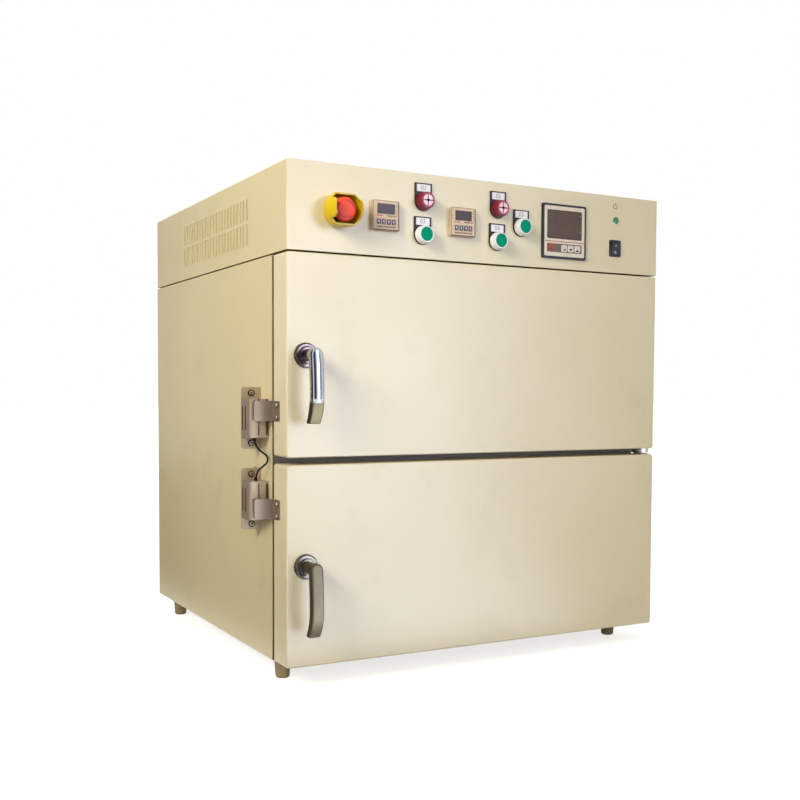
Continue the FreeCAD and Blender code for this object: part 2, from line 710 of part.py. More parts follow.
def handle(name, z_bottom):
    """Rose on the door, and the lever with its spindle and latch tongue."""
    middle = storey_middle(z_bottom)
    rose = turned([(SPINDLE_RADIUS + RUN_CLEAR, Y_FRONT), (ROSE_RADIUS, Y_FRONT),
                   (ROSE_RADIUS, Y_FRONT - ROSE_THICK * 0.5), (ROSE_RADIUS - 2, Y_FRONT - ROSE_THICK),
                   (ROSE_BOSS_RADIUS, Y_FRONT - ROSE_THICK),
                   (ROSE_BOSS_RADIUS - 1, Y_FRONT - ROSE_THICK - ROSE_BOSS),
                   (SPINDLE_RADIUS + RUN_CLEAR, Y_FRONT - ROSE_THICK - ROSE_BOSS)], X_HANDLE, middle)
    keep(name + "_handle_rose", [rose])

    tongue_front = Y_DOOR_BACK + LINER_FLANGE + TONGUE_GAP
    tongue_back = tongue_front + TONGUE_THICK
    neck_back = Y_FRONT - ROSE_THICK - ROSE_BOSS - THRUST_GAP
    neck_front = Y_FRONT - LEVER_TOP_FRONT + LEVER_THICK / 2
    tongue = box(X_HANDLE - TONGUE_REACH, X_HANDLE, tongue_front, tongue_back,
                 middle - TONGUE_WIDTH / 2, middle + TONGUE_WIDTH / 2)
    pieces = [lever_blade(middle), rod_y(NECK_RADIUS, neck_front, neck_back, X_HANDLE, middle),
              rod_y(SPINDLE_RADIUS, neck_back - NUDGE, tongue_back, X_HANDLE, middle),
              rod_y(TONGUE_HUB, tongue_front, tongue_back, X_HANDLE, middle), tongue]
    keep(name + "_handle_lever", [fused(pieces)])


def bow(start, end):
    """Arc from start to end that is upright where it reaches furthest out."""
    apex = start if start.y < end.y else end
    other = end if start.y < end.y else start
    drop = other.z - apex.z
    depth = other.y - apex.y
    radius = (drop ** 2 + depth ** 2) / (2 * depth)
    half = math.asin(abs(drop) / radius) / 2
    middle = Vector(apex.x, apex.y + radius * (1 - math.cos(half)),
                    apex.z + math.copysign(radius * math.sin(half), drop))
    return Part.Arc(start, middle, end).toShape()


def lever_blade(middle):
    """Blade that bows outwards and comes back towards the door at its lower end."""
    z_top = middle + LEVER_TOP
    z_low = middle - LEVER_DROP
    z_bend = middle - LEVER_BEND
    apex = Vector(X_HANDLE, Y_FRONT - HANDLE_REACH, z_bend)
    top = Vector(X_HANDLE, Y_FRONT - LEVER_TOP_FRONT, z_top)
    tip = Vector(X_HANDLE, Y_FRONT - LEVER_TIP_FRONT, z_low)
    shift = Vector(0, LEVER_THICK, 0)
    outline = Part.Wire([bow(top, apex), bow(apex, tip), Part.makeLine(tip, tip + shift),
                         bow(tip + shift, apex + shift), bow(apex + shift, top + shift),
                         Part.makeLine(top + shift, top)])
    half = LEVER_WIDTH / 2
    side = Part.Face(outline)
    side.translate(Vector(-half, 0, 0))
    blade = side.extrude(Vector(LEVER_WIDTH, 0, 0))
    y0 = Y_FRONT - HANDLE_REACH - LEVER_THICK
    y1 = Y_FRONT
    outline_box = box(X_HANDLE - half, X_HANDLE + half, y0, y1, z_low, middle)
    outline_box = outline_box.makeFillet(LEVER_ROUND, [
        edge for edge in edges_along(outline_box, 1) if edge.BoundBox.ZMax < middle - NUDGE])
    head = rod_y(half, y0, y1, X_HANDLE, middle)
    blade = blade.common(outline_box.fuse(head))
    face = Part.makeCompound([bow(top, apex), bow(apex, tip)]).extrude(Vector(LEVER_WIDTH, 0, 0))
    face.translate(Vector(-half, 0, 0))
    rims = []
    for edge in blade.Edges:
        point = edge.valueAt((edge.FirstParameter + edge.LastParameter) / 2)
        level = edge.BoundBox.ZMax - edge.BoundBox.ZMin < NUDGE and abs(point.z - z_bend) < NUDGE
        if not level and face.distToShape(Part.Vertex(point))[0] < 1e-3:
            rims.append(edge)
    return blade.makeFillet(LEVER_ROUND, rims)


def keeper(name, mirrored):
    """Bent keeper plate on the door's edge, with the lock's armature on a rubber post."""
    z0 = Z_GAP + KEEPER_START
    z1 = z0 + KEEPER_HEIGHT
    bend_y = Y_FRONT + KEEPER_BEND_Y
    flange = box(X_LEFT - KEEPER_SHEET, X_LEFT, bend_y - KEEPER_FLANGE, bend_y + KEEPER_SHEET, z0, z1)
    flange = flange.makeFillet(KEEPER_CORNER, [
        edge for edge in edges_along(flange, 0) if edge.BoundBox.YMax < bend_y - NUDGE])
    plate = box(X_LEFT - KEEPER_REACH, X_LEFT - KEEPER_SHEET, bend_y, bend_y + KEEPER_SHEET, z0, z1)
    plate = plate.makeFillet(KEEPER_CORNER, [
        edge for edge in edges_along(plate, 1) if edge.BoundBox.XMax < X_LEFT - KEEPER_REACH + NUDGE])
    bracket = fused([flange, plate])
    for z in (z0 + KEEPER_HEIGHT * 0.2, z1 - KEEPER_HEIGHT * 0.2):
        head = rod_x(SCREW_HEAD * 0.8, X_LEFT - KEEPER_SHEET - SCREW_HEAD_HEIGHT * 0.8,
                     X_LEFT - KEEPER_SHEET, bend_y - KEEPER_FLANGE / 2, z)
        bracket = bracket.fuse(head)
    face_y = Y_FRONT + LOCK_PLATE_Y - LOCK_BODY_DEPTH - ARMATURE_GAP
    middle_x = X_LEFT - KEEPER_REACH / 2
    armature = box(X_LEFT - KEEPER_REACH + ARMATURE_MARGIN, X_LEFT - ARMATURE_MARGIN,
                   face_y - ARMATURE_THICK, face_y, z0 + ARMATURE_MARGIN / 2, z1 - ARMATURE_MARGIN / 2)
    post = rod_y(ARMATURE_POST, bend_y + KEEPER_SHEET, face_y - ARMATURE_THICK, middle_x, (z0 + z1) / 2)
    solids = [bracket, armature.fuse(post)]
    if mirrored:
        solids = [flipped(solid) for solid in solids]
    keep(name + "_lock_keeper", solids)


def flipped(shape):
    """Mirror image of a shape about the level of the gap between the doors."""
    return shape.mirror(Vector(0, 0, Z_GAP), Vector(0, 0, 1))


# Hinges

def hinge_bracket(tab_low, pin_low, pin_high, leaf_low):
    """Bracket on the cabinet's right side with its tab and pin."""
    tab_high = tab_low + TAB_THICK
    radius = HINGE_REACH - HINGE_OFFSET
    tab = rod_z(radius, tab_low, tab_high, X_PIVOT, Y_PIVOT)
    bar = box(X_RIGHT, X_PIVOT + radius, Y_PIVOT, Y_PIVOT + TAB_LENGTH, tab_low, tab_high)
    near = box(X_RIGHT, X_PIVOT - radius + NUDGE, Y_FRAME, Y_PIVOT + TAB_LENGTH, tab_low, tab_high)
    bar = bar.cut(box(X_RIGHT - NUDGE, X_PIVOT - radius, Y_PIVOT - NUDGE, Y_FRAME, tab_low - NUDGE,
                      tab_high + NUDGE))
    bar = bar.makeChamfer(TAB_LENGTH * 0.5, [
        edge for edge in edges_along(bar, 2)
        if edge.BoundBox.YMin > Y_PIVOT + TAB_LENGTH - NUDGE and edge.BoundBox.XMin > X_PIVOT])
    leaf = box(X_RIGHT, X_RIGHT + HINGE_LEAF, Y_FRAME + LEAF_SETBACK, Y_FRAME + LEAF_SETBACK + LEAF_LENGTH,
               leaf_low, leaf_low + LEAF_HEIGHT)
    pin = rod_z(PIN_RADIUS, pin_low, pin_high, X_PIVOT, Y_PIVOT)
    return fused([tab, bar, near, leaf, pin])


def hinge_brackets():
    """Lower, middle and upper brackets. The middle one carries both doors."""
    centre_low = Z_GAP - TAB_THICK / 2
    upper_low = Z_BODY - TAB_THICK - THRUST_GAP
    keep("hinge_brackets", [
        hinge_bracket(Z_LOWER, Z_LOWER, Z_LOWER + TAB_THICK + PIN_LENGTH, Z_LOWER + EDGE_RADIUS),
        hinge_bracket(centre_low, centre_low - PIN_LENGTH, centre_low + TAB_THICK + PIN_LENGTH,
                      Z_GAP - LEAF_HEIGHT / 2),
        hinge_bracket(upper_low, upper_low - PIN_LENGTH, upper_low + TAB_THICK,
                      Z_BODY - LEAF_HEIGHT - THRUST_GAP)])


def hinge_arm(low, upwards):
    """Barrel, web and leaf on the door's right edge. The leaf runs up or down from the barrel."""
    high = low + BARREL_LENGTH
    leaf_low = low if upwards else high - LEAF_HEIGHT
    barrel = rod_z(BARREL_RADIUS, low, high, X_PIVOT, Y_PIVOT)
    web = box(X_RIGHT, X_PIVOT, Y_PIVOT - ARM_WEB, Y_PIVOT, low, high)
    front = Y_FRONT + ARM_LEAF_FRONT
    leaf = box(X_RIGHT, X_RIGHT + HINGE_LEAF, front, front + ARM_LEAF_DEPTH, leaf_low,
               leaf_low + LEAF_HEIGHT)
    arm = fused([barrel, web, leaf])
    return arm.cut(rod_z(PIN_RADIUS + RUN_CLEAR, low - NUDGE, high + NUDGE, X_PIVOT, Y_PIVOT))


def hinge_arms():
    centre_low = Z_GAP - TAB_THICK / 2
    centre_high = centre_low + TAB_THICK
    upper_low = Z_BODY - TAB_THICK - THRUST_GAP
    keep("lower_door_hinge_arms", [
        hinge_arm(Z_LOWER + TAB_THICK + THRUST_GAP, True),
        hinge_arm(centre_low - THRUST_GAP - BARREL_LENGTH, False)])
    keep("upper_door_hinge_arms", [
        hinge_arm(centre_high + THRUST_GAP, True),
        hinge_arm(upper_low - THRUST_GAP - BARREL_LENGTH, False)])


# Door locks

def lock_plate():
    """Angle plate that stands off the left side, its leg screwed to the side behind it."""
    z0 = Z_GAP + LOCK_PLATE_START
    z1 = z0 + LOCK_PLATE_HEIGHT
    y0 = Y_FRONT + LOCK_PLATE_Y
    plate = box(X_LEFT - LOCK_REACH, X_LEFT, y0, y0 + LOCK_SHEET, z0, z1)
    plate = plate.makeFillet(KEEPER_CORNER, [
        edge for edge in edges_along(plate, 1) if edge.BoundBox.XMax < X_LEFT - NUDGE])
    leg = box(X_LEFT - LOCK_SHEET, X_LEFT, y0, y0 + LOCK_LEG, z0, z1)
    return fused([plate, leg])


def lock_body():
    """Magnet housing with two grooves in its outer face and a grooved pole face in front."""
    z0 = Z_GAP + LOCK_BODY_START
    z1 = z0 + LOCK_BODY_HEIGHT
    y1 = Y_FRONT + LOCK_PLATE_Y
    y0 = y1 - LOCK_BODY_DEPTH
    x0 = X_LEFT - LOCK_REACH
    body = box(x0, X_LEFT - SLIDE_CLEAR, y0, y1, z0, z1)
    body = body.makeFillet(LOCK_BODY_ROUND, [
        edge for edge in edges_along(body, 2)
        if edge.BoundBox.XMax < X_LEFT - LOCK_BODY_ROUND and edge.BoundBox.YMax < y1 - NUDGE])
    middle = (z0 + z1) / 2
    cuts = []
    for index in range(2):
        y = y1 - LOCK_SLOT_FIRST - index * LOCK_SLOT_PITCH
        cuts.append(box(x0 - NUDGE, x0 + LOCK_SLOT_DEPTH, y - LOCK_SLOT_WIDTH / 2, y + LOCK_SLOT_WIDTH / 2,
                        middle - LOCK_SLOT_HEIGHT / 2, middle + LOCK_SLOT_HEIGHT / 2))
    cuts.append(box(X_LEFT - POLE_GROOVE_X - POLE_GROOVE / 2, X_LEFT - POLE_GROOVE_X + POLE_GROOVE / 2,
                    y0 - NUDGE, y0 + POLE_DEPTH, z0 + POLE_EDGE, z1 + NUDGE))
    cuts.append(box(X_LEFT - POLE_EDGE, X_LEFT, y0 - NUDGE, y0 + POLE_DEPTH, z0 - NUDGE, z1 + NUDGE))
    return body.cut(Part.makeCompound(cuts))


def lock_screws():
    """Pan heads that hold the plates, two on each."""
    heads = []
    y0 = Y_FRONT + LOCK_PLATE_Y
    low = Z_GAP + LOCK_PLATE_START
    inset = (LOCK_BODY_START - LOCK_PLATE_START) / 2
    for z in (low + inset, low + LOCK_PLATE_HEIGHT - inset):
        head = rod_y(SCREW_HEAD, y0 - SCREW_HEAD_HEIGHT, y0, X_LEFT - LOCK_REACH / 2, z)
        head = head.makeFillet(SCREW_HEAD_HEIGHT * 0.6, edges_in_plane(head, 1, y0 - SCREW_HEAD_HEIGHT))
        heads.append(head)
    return heads


def locks():
    plate = lock_plate()
    body = lock_body()
    heads = lock_screws()
    keep("lock_plates", [plate, flipped(plate)])
    keep("lock_bodies", [body, flipped(body)])
    keep("lock_screws", heads + [flipped(head) for head in heads])


# Lead between the two locks: points from the upper lock down to the lower one. X is counted from the
# left side, Y from the door front and Z from the middle of the gap between the doors.
LEAD_ROUTE = ((-19.0, 90.0, LOCK_BODY_START), (-18.4, 89.0, 22.6), (-12.6, 78.0, 12.6),
              (-6.0, 66.0, 6.4), (-5.6, 65.4, -4.6), (-12.2, 77.0, -13.2), (-16.6, 88.6, -22.2),
              (-17.0, 90.0, -LOCK_BODY_START))
ARC_SHARE = 0.45


def lead():
    """Tube of straight runs joined by tangent arcs."""
    points = [Vector(X_LEFT + x, Y_FRONT + y, Z_GAP + z) for x, y, z in LEAD_ROUTE]
    edges = []
    start = points[0]
    for before, corner, after in zip(points, points[1:], points[2:]):
        into = corner - before
        out = after - corner
        reach = ARC_SHARE * min(into.Length, out.Length)
        turn = into.getAngle(out)
        radius = reach / math.tan(turn / 2)
        into.normalize()
        out.normalize()
        first = corner - into * reach
        last = corner + out * reach
        towards = (out - into).normalize()
        middle = corner + towards * (radius / math.cos(turn / 2) - radius)
        print("lead radius", round(radius, 1), "run", round((corner - before).Length, 1))
        edges.append(Part.LineSegment(start, first).toShape())
        edges.append(Part.Arc(first, middle, last).toShape())
        start = last
    edges.append(Part.LineSegment(start, points[-1]).toShape())
    path = Part.Wire(edges)
    ring = Part.Wire(Part.makeCircle(LEAD_RADIUS, points[0], points[1] - points[0]))
    tube = path.makePipeShell([ring], True, False)
    expected = math.pi * LEAD_RADIUS ** 2 * path.Length
    print("lead length", round(path.Length, 1), "volume share", round(tube.Volume / expected, 4))
    keep("lock_lead", [tube if tube.ShapeType == "Solid" else tube.Solids[0]])


# Controls

def legend_plates():
    """Black plates with a square top, a round foot and a shallow pocket for a label."""
    solids = []
    for place in BUZZER_AT + BUTTON_AT:
        x, z = on_panel(place)
        half = PLATE_WIDTH / 2
        plate = fused([rod_y(half, Y_FRONT - PLATE_THICK, Y_FRONT, x, z),
                       box(x - half, x + half, Y_FRONT - PLATE_THICK, Y_FRONT, z, z + PLATE_ABOVE)])
        plate = plate.cut(rod_y(NECK_22_RADIUS + CUT_CLEAR, Y_FRONT - PLATE_THICK - NUDGE,
                                Y_FRONT + NUDGE, x, z))
        label_top = z + PLATE_ABOVE - PLATE_LABEL_TOP
        plate = plate.cut(box(x - PLATE_LABEL_WIDTH / 2, x + PLATE_LABEL_WIDTH / 2,
                              Y_FRONT - PLATE_THICK - NUDGE, Y_FRONT - PLATE_THICK + PLATE_POCKET,
                              label_top - PLATE_LABEL_HEIGHT, label_top))
        solids.append(plate)
    keep("legend_plates", solids)


def contact_block(x, z, width):
    """Contact block behind the panel."""
    y0 = Y_FRONT + BLOCK_START
    return box(x - width / 2, x + width / 2, y0, y0 + BLOCK_LENGTH, z - width / 2, z + width / 2)


def push_buttons():
    """Metal bezels with their bodies, and the green caps that slide in them."""
    bezels = []
    seat = Y_FRONT - PLATE_THICK
    front = seat - BEZEL_PROUD
    cap_front = front + CAP_RECESS
    cap_back = cap_front + CAP_LENGTH
    floor = cap_back + BUTTON_TRAVEL + SLIDE_CLEAR
    stem_end = cap_back + BUTTON_STEM_LENGTH
    bore_end = stem_end + BUTTON_TRAVEL + SLIDE_CLEAR
    for index, place in enumerate(BUTTON_AT):
        x, z = on_panel(place)
        bezel = fused([turned([(0, front), (BEZEL_FRONT_RADIUS, front),
                               (BEZEL_RADIUS, front + BEZEL_SLOPE), (BEZEL_RADIUS, seat),
                               (NECK_22_RADIUS, seat), (NECK_22_RADIUS, Y_FRONT + BLOCK_START),
                               (0, Y_FRONT + BLOCK_START)], x, z), contact_block(x, z, BLOCK_WIDTH)])
        bezel = bezel.cut(rod_y(CAP_RADIUS + SLIDE_CLEAR, front - NUDGE, floor, x, z))
        bezel = bezel.cut(rod_y(BUTTON_STEM_RADIUS + RUN_CLEAR, floor - NUDGE, bore_end, x, z))
        bezels.append(bezel)
        cap = rod_y(CAP_RADIUS, cap_front, cap_back, x, z)
        cap = cap.makeFillet(CAP_EDGE, edges_in_plane(cap, 1, cap_front))
        stem = rod_y(BUTTON_STEM_RADIUS, cap_back, stem_end, x, z)
        keep("green_button_%d" % (index + 1), [cap.fuse(stem)])
    keep("button_bezels", bezels)


def buzzers():
    """Ribbed alarm buzzers with a sound mouth and a cross in front."""
    solids = []
    seat = Y_FRONT - PLATE_THICK
    front = seat - BUZZER_PROUD
    for place in BUZZER_AT:
        x, z = on_panel(place)
        body = turned([(0, front), (BUZZER_TIP_RADIUS - BUZZER_EDGE, front),
                       (BUZZER_TIP_RADIUS, front + BUZZER_EDGE), (BUZZER_ROOT_RADIUS, seat - BUZZER_FLANGE),
                       (BUZZER_RADIUS, seat - BUZZER_FLANGE), (BUZZER_RADIUS, seat),
                       (NECK_22_RADIUS, seat), (NECK_22_RADIUS, Y_FRONT + BLOCK_START),
                       (0, Y_FRONT + BLOCK_START)], x, z)
        grooves = []
        for index in range(BUZZER_RIBS):
            groove = box(x - BUZZER_GROOVE / 2, x + BUZZER_GROOVE / 2, front - NUDGE,
                         seat - BUZZER_FLANGE - BUZZER_EDGE, z + BUZZER_TIP_RADIUS - BUZZER_GROOVE / 2,
                         z + BUZZER_RADIUS)
            groove.rotate(Vector(x, 0, z), Vector(0, 1, 0), 360 * (index + 0.5) / BUZZER_RIBS)
            grooves.append(groove)
        body = body.cut(Part.makeCompound(grooves))
        body = body.cut(rod_y(BUZZER_MOUTH_RADIUS, front - NUDGE, front + BUZZER_MOUTH_DEPTH, x, z))
        bars = []
        reach = BUZZER_MOUTH_RADIUS + BUZZER_CROSS / 2
        half = BUZZER_CROSS / 2
        for half_x, half_z in ((reach, half), (half, reach)):
            bars.append(box(x - half_x, x + half_x, front + half, front + BUZZER_MOUTH_DEPTH,
                            z - half_z, z + half_z))
        solids.append(fused([body] + bars + [contact_block(x, z, BLOCK_WIDTH)]))
    keep("alarm_buzzers", solids)


def turned_curve(points, x, z):
    """Solid of revolution about an axis along Y, from the smooth curve through points (radius, proud)."""
    places = [Vector(x + radius, Y_FRONT - proud, z) for radius, proud in points]
    curve = Part.BSplineCurve()
    curve.interpolate(places)
    first = Vector(x, places[0].y, z)
    last = Vector(x, places[-1].y, z)
    outline = Part.Wire([Part.makeLine(first, places[0]), curve.toShape(),
                         Part.makeLine(places[-1], last), Part.makeLine(last, first)])
    return Part.Face(outline).revolve(first, Vector(0, 1, 0), 360)


def guard(x, z):
    """Bowl with flat floor and roof round the mushroom head, and a wing on each side."""
    reach = max(radius for radius, _ in GUARD_OUTLINE) + NUDGE
    rim = GUARD_OUTLINE[-1][1]
    half = GUARD_HEIGHT / 2
    slim = half - GUARD_WALL
    inside = [(radius - GUARD_WALL, proud) for radius, proud in GUARD_OUTLINE]
    inside[0] = (inside[0][0], GUARD_BASE)
    inside[-1] = (inside[-1][0], rim + NUDGE)
    outer = turned_curve(GUARD_OUTLINE, x, z)
    outer = outer.common(box(x - reach, x + reach, Y_FRONT - rim, Y_FRONT, z - half, z + half))
    hollow = turned_curve(inside, x, z)
    hollow = hollow.common(box(x - reach, x + reach, Y_FRONT - rim - NUDGE, Y_FRONT, z - slim, z + slim))
    shell = outer.cut(hollow)
    collar_hole = ESTOP_COLLAR_RADIUS + CUT_CLEAR
    shell = shell.cut(rod_y(collar_hole, Y_FRONT - GUARD_BASE - NUDGE, Y_FRONT + NUDGE, x, z))
    notch_y = Y_FRONT - GUARD_NOTCH_PROUD
    tip_y = Y_FRONT - rim
    past_y = tip_y - NUDGE
    for side in (-1, 1):
        wing = z + side * GUARD_WING_HALF
        tip = z + side * GUARD_TIP_HALF
        past = z + side * (half + NUDGE)
        corners = [(notch_y, past), (notch_y, wing), (tip_y + GUARD_TIP, wing), (tip_y, tip), (past_y, tip),
                   (past_y, past)]
        notch = Part.Face(Part.makePolygon([Vector(x - reach, y, up) for y, up in corners + corners[:1]]))
        notch = notch.extrude(Vector(2 * reach, 0, 0))
        root = [edge for edge in notch.Edges
                if all(abs(v.Y - notch_y) < TINY and abs(v.Z - wing) < TINY for v in edge.Vertexes)]
        shell = shell.cut(notch.makeFillet(GUARD_NOTCH_ROUND, root))
    return shell.cut(rod_x(GUARD_HOLE_RADIUS, x - reach, x, Y_FRONT - GUARD_HOLE_PROUD, z + GUARD_HOLE_UP))


def emergency_stop():
    """Yellow guard, fixed base, sliding stem and turning mushroom head."""
    x, z = on_panel(ESTOP_AT)
    keep("estop_guard", [guard(x, z)])

    collar_front = Y_FRONT - ESTOP_COLLAR_PROUD
    head_front = Y_FRONT - ESTOP_HEAD_PROUD
    head_back = head_front + ESTOP_HEAD_THICK
    skirt_back = collar_front - ESTOP_TRAVEL - SLIDE_CLEAR
    stem_front = head_back - ESTOP_STEM_IN_HEAD / 2
    stem_back = Y_FRONT + ESTOP_STEM_BACK
    collar = turned([(ESTOP_STEM_RADIUS + RUN_CLEAR, collar_front), (ESTOP_COLLAR_RADIUS, collar_front),
                     (ESTOP_COLLAR_RADIUS, Y_FRONT), (NECK_22_RADIUS, Y_FRONT),
                     (NECK_22_RADIUS, Y_FRONT + BLOCK_START),
                     (ESTOP_STEM_RADIUS + RUN_CLEAR, Y_FRONT + BLOCK_START)], x, z)
    block = contact_block(x, z, ESTOP_BLOCK_WIDTH)
    block = block.cut(rod_y(ESTOP_STEM_RADIUS + RUN_CLEAR, Y_FRONT, stem_back + ESTOP_TRAVEL + SLIDE_CLEAR,
                            x, z))
    keep("estop_base", [fused([collar, block])])

    keep("estop_stem", [rod_y(ESTOP_STEM_RADIUS, stem_front, stem_back, x, z)])
    dome = ESTOP_HEAD_THICK * 0.35
    ring_floor = head_front + ESTOP_RING_DEPTH
    half = ESTOP_RING_WIDTH / 2
    head = turned([(0, head_front), (ESTOP_RING_RADIUS - half * 2, head_front),
                   (ESTOP_RING_RADIUS - half, ring_floor), (ESTOP_RING_RADIUS + half, ring_floor),
                   (ESTOP_RING_RADIUS + half * 2, head_front + ESTOP_RING_DEPTH * 0.2),
                   (ESTOP_HEAD_RADIUS * 0.9, head_front + dome * 0.4),
                   (ESTOP_HEAD_RADIUS, head_front + dome), (ESTOP_HEAD_RADIUS, head_back - dome * 0.5),
                   (ESTOP_HEAD_RADIUS * 0.85, head_back), (ESTOP_SKIRT_RADIUS, head_back),
                   (ESTOP_SKIRT_RADIUS, skirt_back), (0, skirt_back)], x, z)
    head = head.cut(rod_y(ESTOP_STEM_RADIUS + RUN_CLEAR, stem_front - SLIDE_CLEAR, skirt_back + NUDGE, x, z))
    keep("estop_head", [head])


def timers():
    """48 mm timers and their one-piece film keypads."""
    cases = []
    pads = []
    front = Y_FRONT - TIMER_PROUD
    for place in TIMER_AT:
        x, z = on_panel(place)
        face = plate_at((x, z), (TIMER_SIZE, TIMER_SIZE), front, Y_FRONT, FACE_ROUND)
        body = plate_at((x, z), (TIMER_BODY, TIMER_BODY), Y_FRONT, Y_FRONT + TIMER_DEPTH, 1.0)
        case = fused([face, body])
        window = plate_at((x, z + TIMER_WINDOW_UP), TIMER_WINDOW, front - NUDGE, front + WINDOW_POCKET, 1.0)
        pad_at = (x, z - TIMER_PAD_DOWN)
        pocket = plate_at(pad_at, TIMER_PAD, front - NUDGE, front + TIMER_PAD_THICK, 1.0)
        cases.append(case.cut(window).cut(pocket))
        pad = plate_at(pad_at, TIMER_PAD, front, front + TIMER_PAD_THICK, 1.0)
        keys = []
        for index in range(TIMER_KEY_COUNT):
            key_x = x + (index - (TIMER_KEY_COUNT - 1) / 2) * TIMER_KEY_PITCH
            keys.append(plate_at((key_x, pad_at[1]), TIMER_KEY, front - TIMER_KEY_PROUD, front, 1.0))
        pads.append(fused([pad] + keys))
    keep("timer_cases", cases)
    keep("timer_keypads", pads)


def controller():
    """96 mm temperature controller with four keys that press in."""
    x, z = on_panel(CONTROLLER_AT)
    front = Y_FRONT - CONTROLLER_PROUD
    face = plate_at((x, z), (CONTROLLER_SIZE, CONTROLLER_SIZE), front, Y_FRONT, FACE_ROUND)
    body = plate_at((x, z), (CONTROLLER_BODY, CONTROLLER_BODY), Y_FRONT, Y_FRONT + CONTROLLER_DEPTH, 1.0)
    case = fused([face, body])
    case = case.cut(plate_at((x, z + CONTROLLER_WINDOW_UP), CONTROLLER_WINDOW, front - NUDGE,
                             front + WINDOW_POCKET, FACE_ROUND))
    key_front = front - KEY_PROUD
    key_back = key_front + KEY_LENGTH
    floor = key_back + KEY_TRAVEL + KEY_CLEAR
    for name, place, size in zip(KEY_NAMES, KEY_PLACES, KEY_SIZES):
        at = (x + place, z - KEY_ROW_DOWN)
        grow = 2 * KEY_CLEAR
        case = case.cut(plate_at(at, (size[0] + grow, size[1] + grow), front - NUDGE, floor,
                                 KEY_ROUND + KEY_CLEAR))
        keep("controller_key_" + name, [plate_at(at, size, key_front, key_back, KEY_ROUND)])
    keep("controller_case", [case])


def pilot_light():
    x, z = on_panel(PILOT_AT)
    front = Y_FRONT - PILOT_PROUD
    keep("pilot_light", [turned([(0, front), (PILOT_RADIUS * 0.6, front),
                                 (PILOT_RADIUS, front + PILOT_PROUD * 0.6), (PILOT_RADIUS, Y_FRONT),
                                 (PILOT_NECK_RADIUS, Y_FRONT), (PILOT_NECK_RADIUS, Y_FRONT + PILOT_LENGTH),
                                 (0, Y_FRONT + PILOT_LENGTH)], x, z)])


def rocker_switch():
    """Frame and rocker. The rocker stands at rest with its lower half pressed in."""
    x, z = on_panel(ROCKER_AT)
    front = Y_FRONT - ROCKER_FRAME_PROUD
    back = Y_FRONT + ROCKER_BODY_DEPTH
    half_tall = ROCKER_RADIUS + SLIDE_CLEAR
    half_wide = ROCKER_WIDTH / 2 + SLIDE_CLEAR
    pocket_back = Y_FRONT + ROCKER_BACK + ROCKER_BACK_HALF
    frame = fused([plate_at((x, z), ROCKER_FRAME, front, Y_FRONT, FACE_ROUND),
                   plate_at((x, z), ROCKER_BODY, Y_FRONT, back, 1.0)])
    frame = frame.cut(box(x - half_wide, x + half_wide, front - NUDGE, pocket_back,
                          z - half_tall, z + half_tall))
    trunnion_half = ROCKER_WIDTH / 2 + TRUNNION_LENGTH
    frame = frame.cut(rod_x(TRUNNION_RADIUS + RUN_CLEAR, x - trunnion_half - SLIDE_CLEAR / 2,
                            x + trunnion_half + SLIDE_CLEAR / 2, Y_FRONT, z))
    keep("rocker_frame", [frame])

    def at(radius, degrees):
        angle = math.radians(degrees)
        return Vector(0, Y_FRONT - radius * math.sin(angle), z + radius * math.cos(angle))

    half_swing = ROCKER_SWING / 2
    top = ROCKER_LEAN + half_swing
    low = 180 - ROCKER_LEAN + half_swing
    middle = (top + low) / 2
    back_top = Vector(0, Y_FRONT + ROCKER_BACK, z + ROCKER_BACK_HALF)
    back_low = Vector(0, Y_FRONT + ROCKER_BACK, z - ROCKER_BACK_HALF)
    outline = [at(ROCKER_RADIUS, top), at(ROCKER_DIP, middle), at(ROCKER_RADIUS, low),
               back_low, back_top]
    rocker = Part.Face(Part.makePolygon(outline + outline[:1])).extrude(Vector(ROCKER_WIDTH, 0, 0))
    rocker.translate(Vector(x - ROCKER_WIDTH / 2, 0, 0))
    pin = rod_x(TRUNNION_RADIUS, x - trunnion_half, x + trunnion_half, Y_FRONT, z)
    keep("rocker", [rocker.fuse(pin)])


# Air system

def impeller(name, z_bottom):
    """Centrifugal wheel: back plate, leaning blades, front ring, hub and shaft."""
    middle = storey_middle(z_bottom)
    back = Y_CHAMBER - IMPELLER_BACK_GAP
    front = back - IMPELLER_WIDTH
    pieces = [rod_y(IMPELLER_RADIUS, back - IMPELLER_SHEET, back, X_MID, middle),
              rod_y(HUB_RADIUS, back - HUB_LENGTH, back, X_MID, middle),
              rod_y(SHAFT_RADIUS, back - HUB_LENGTH - BLADE_THICK, Y_MOTOR + SHAFT_IN_MOTOR, X_MID, middle)]
    ring = rod_y(IMPELLER_RADIUS, front, front + IMPELLER_SHEET, X_MID, middle)
    pieces.append(ring.cut(rod_y(IMPELLER_INNER, front - NUDGE, front + NUDGE + IMPELLER_SHEET,
                                 X_MID, middle)))
    for index in range(BLADE_COUNT):
        blade = box(X_MID - BLADE_THICK / 2, X_MID + BLADE_THICK / 2, front + IMPELLER_SHEET,
                    back - IMPELLER_SHEET, middle + IMPELLER_INNER + BLADE_THICK,
                    middle + IMPELLER_RADIUS - BLADE_THICK)
        heel = Vector(X_MID, 0, middle + IMPELLER_INNER + BLADE_THICK)
        blade.rotate(heel, Vector(0, 1, 0), BLADE_LEAN)
        blade.rotate(Vector(X_MID, 0, middle), Vector(0, 1, 0), 360 * index / BLADE_COUNT)
        pieces.append(blade)
    keep(name + "_fan_wheel", [fused(pieces)])


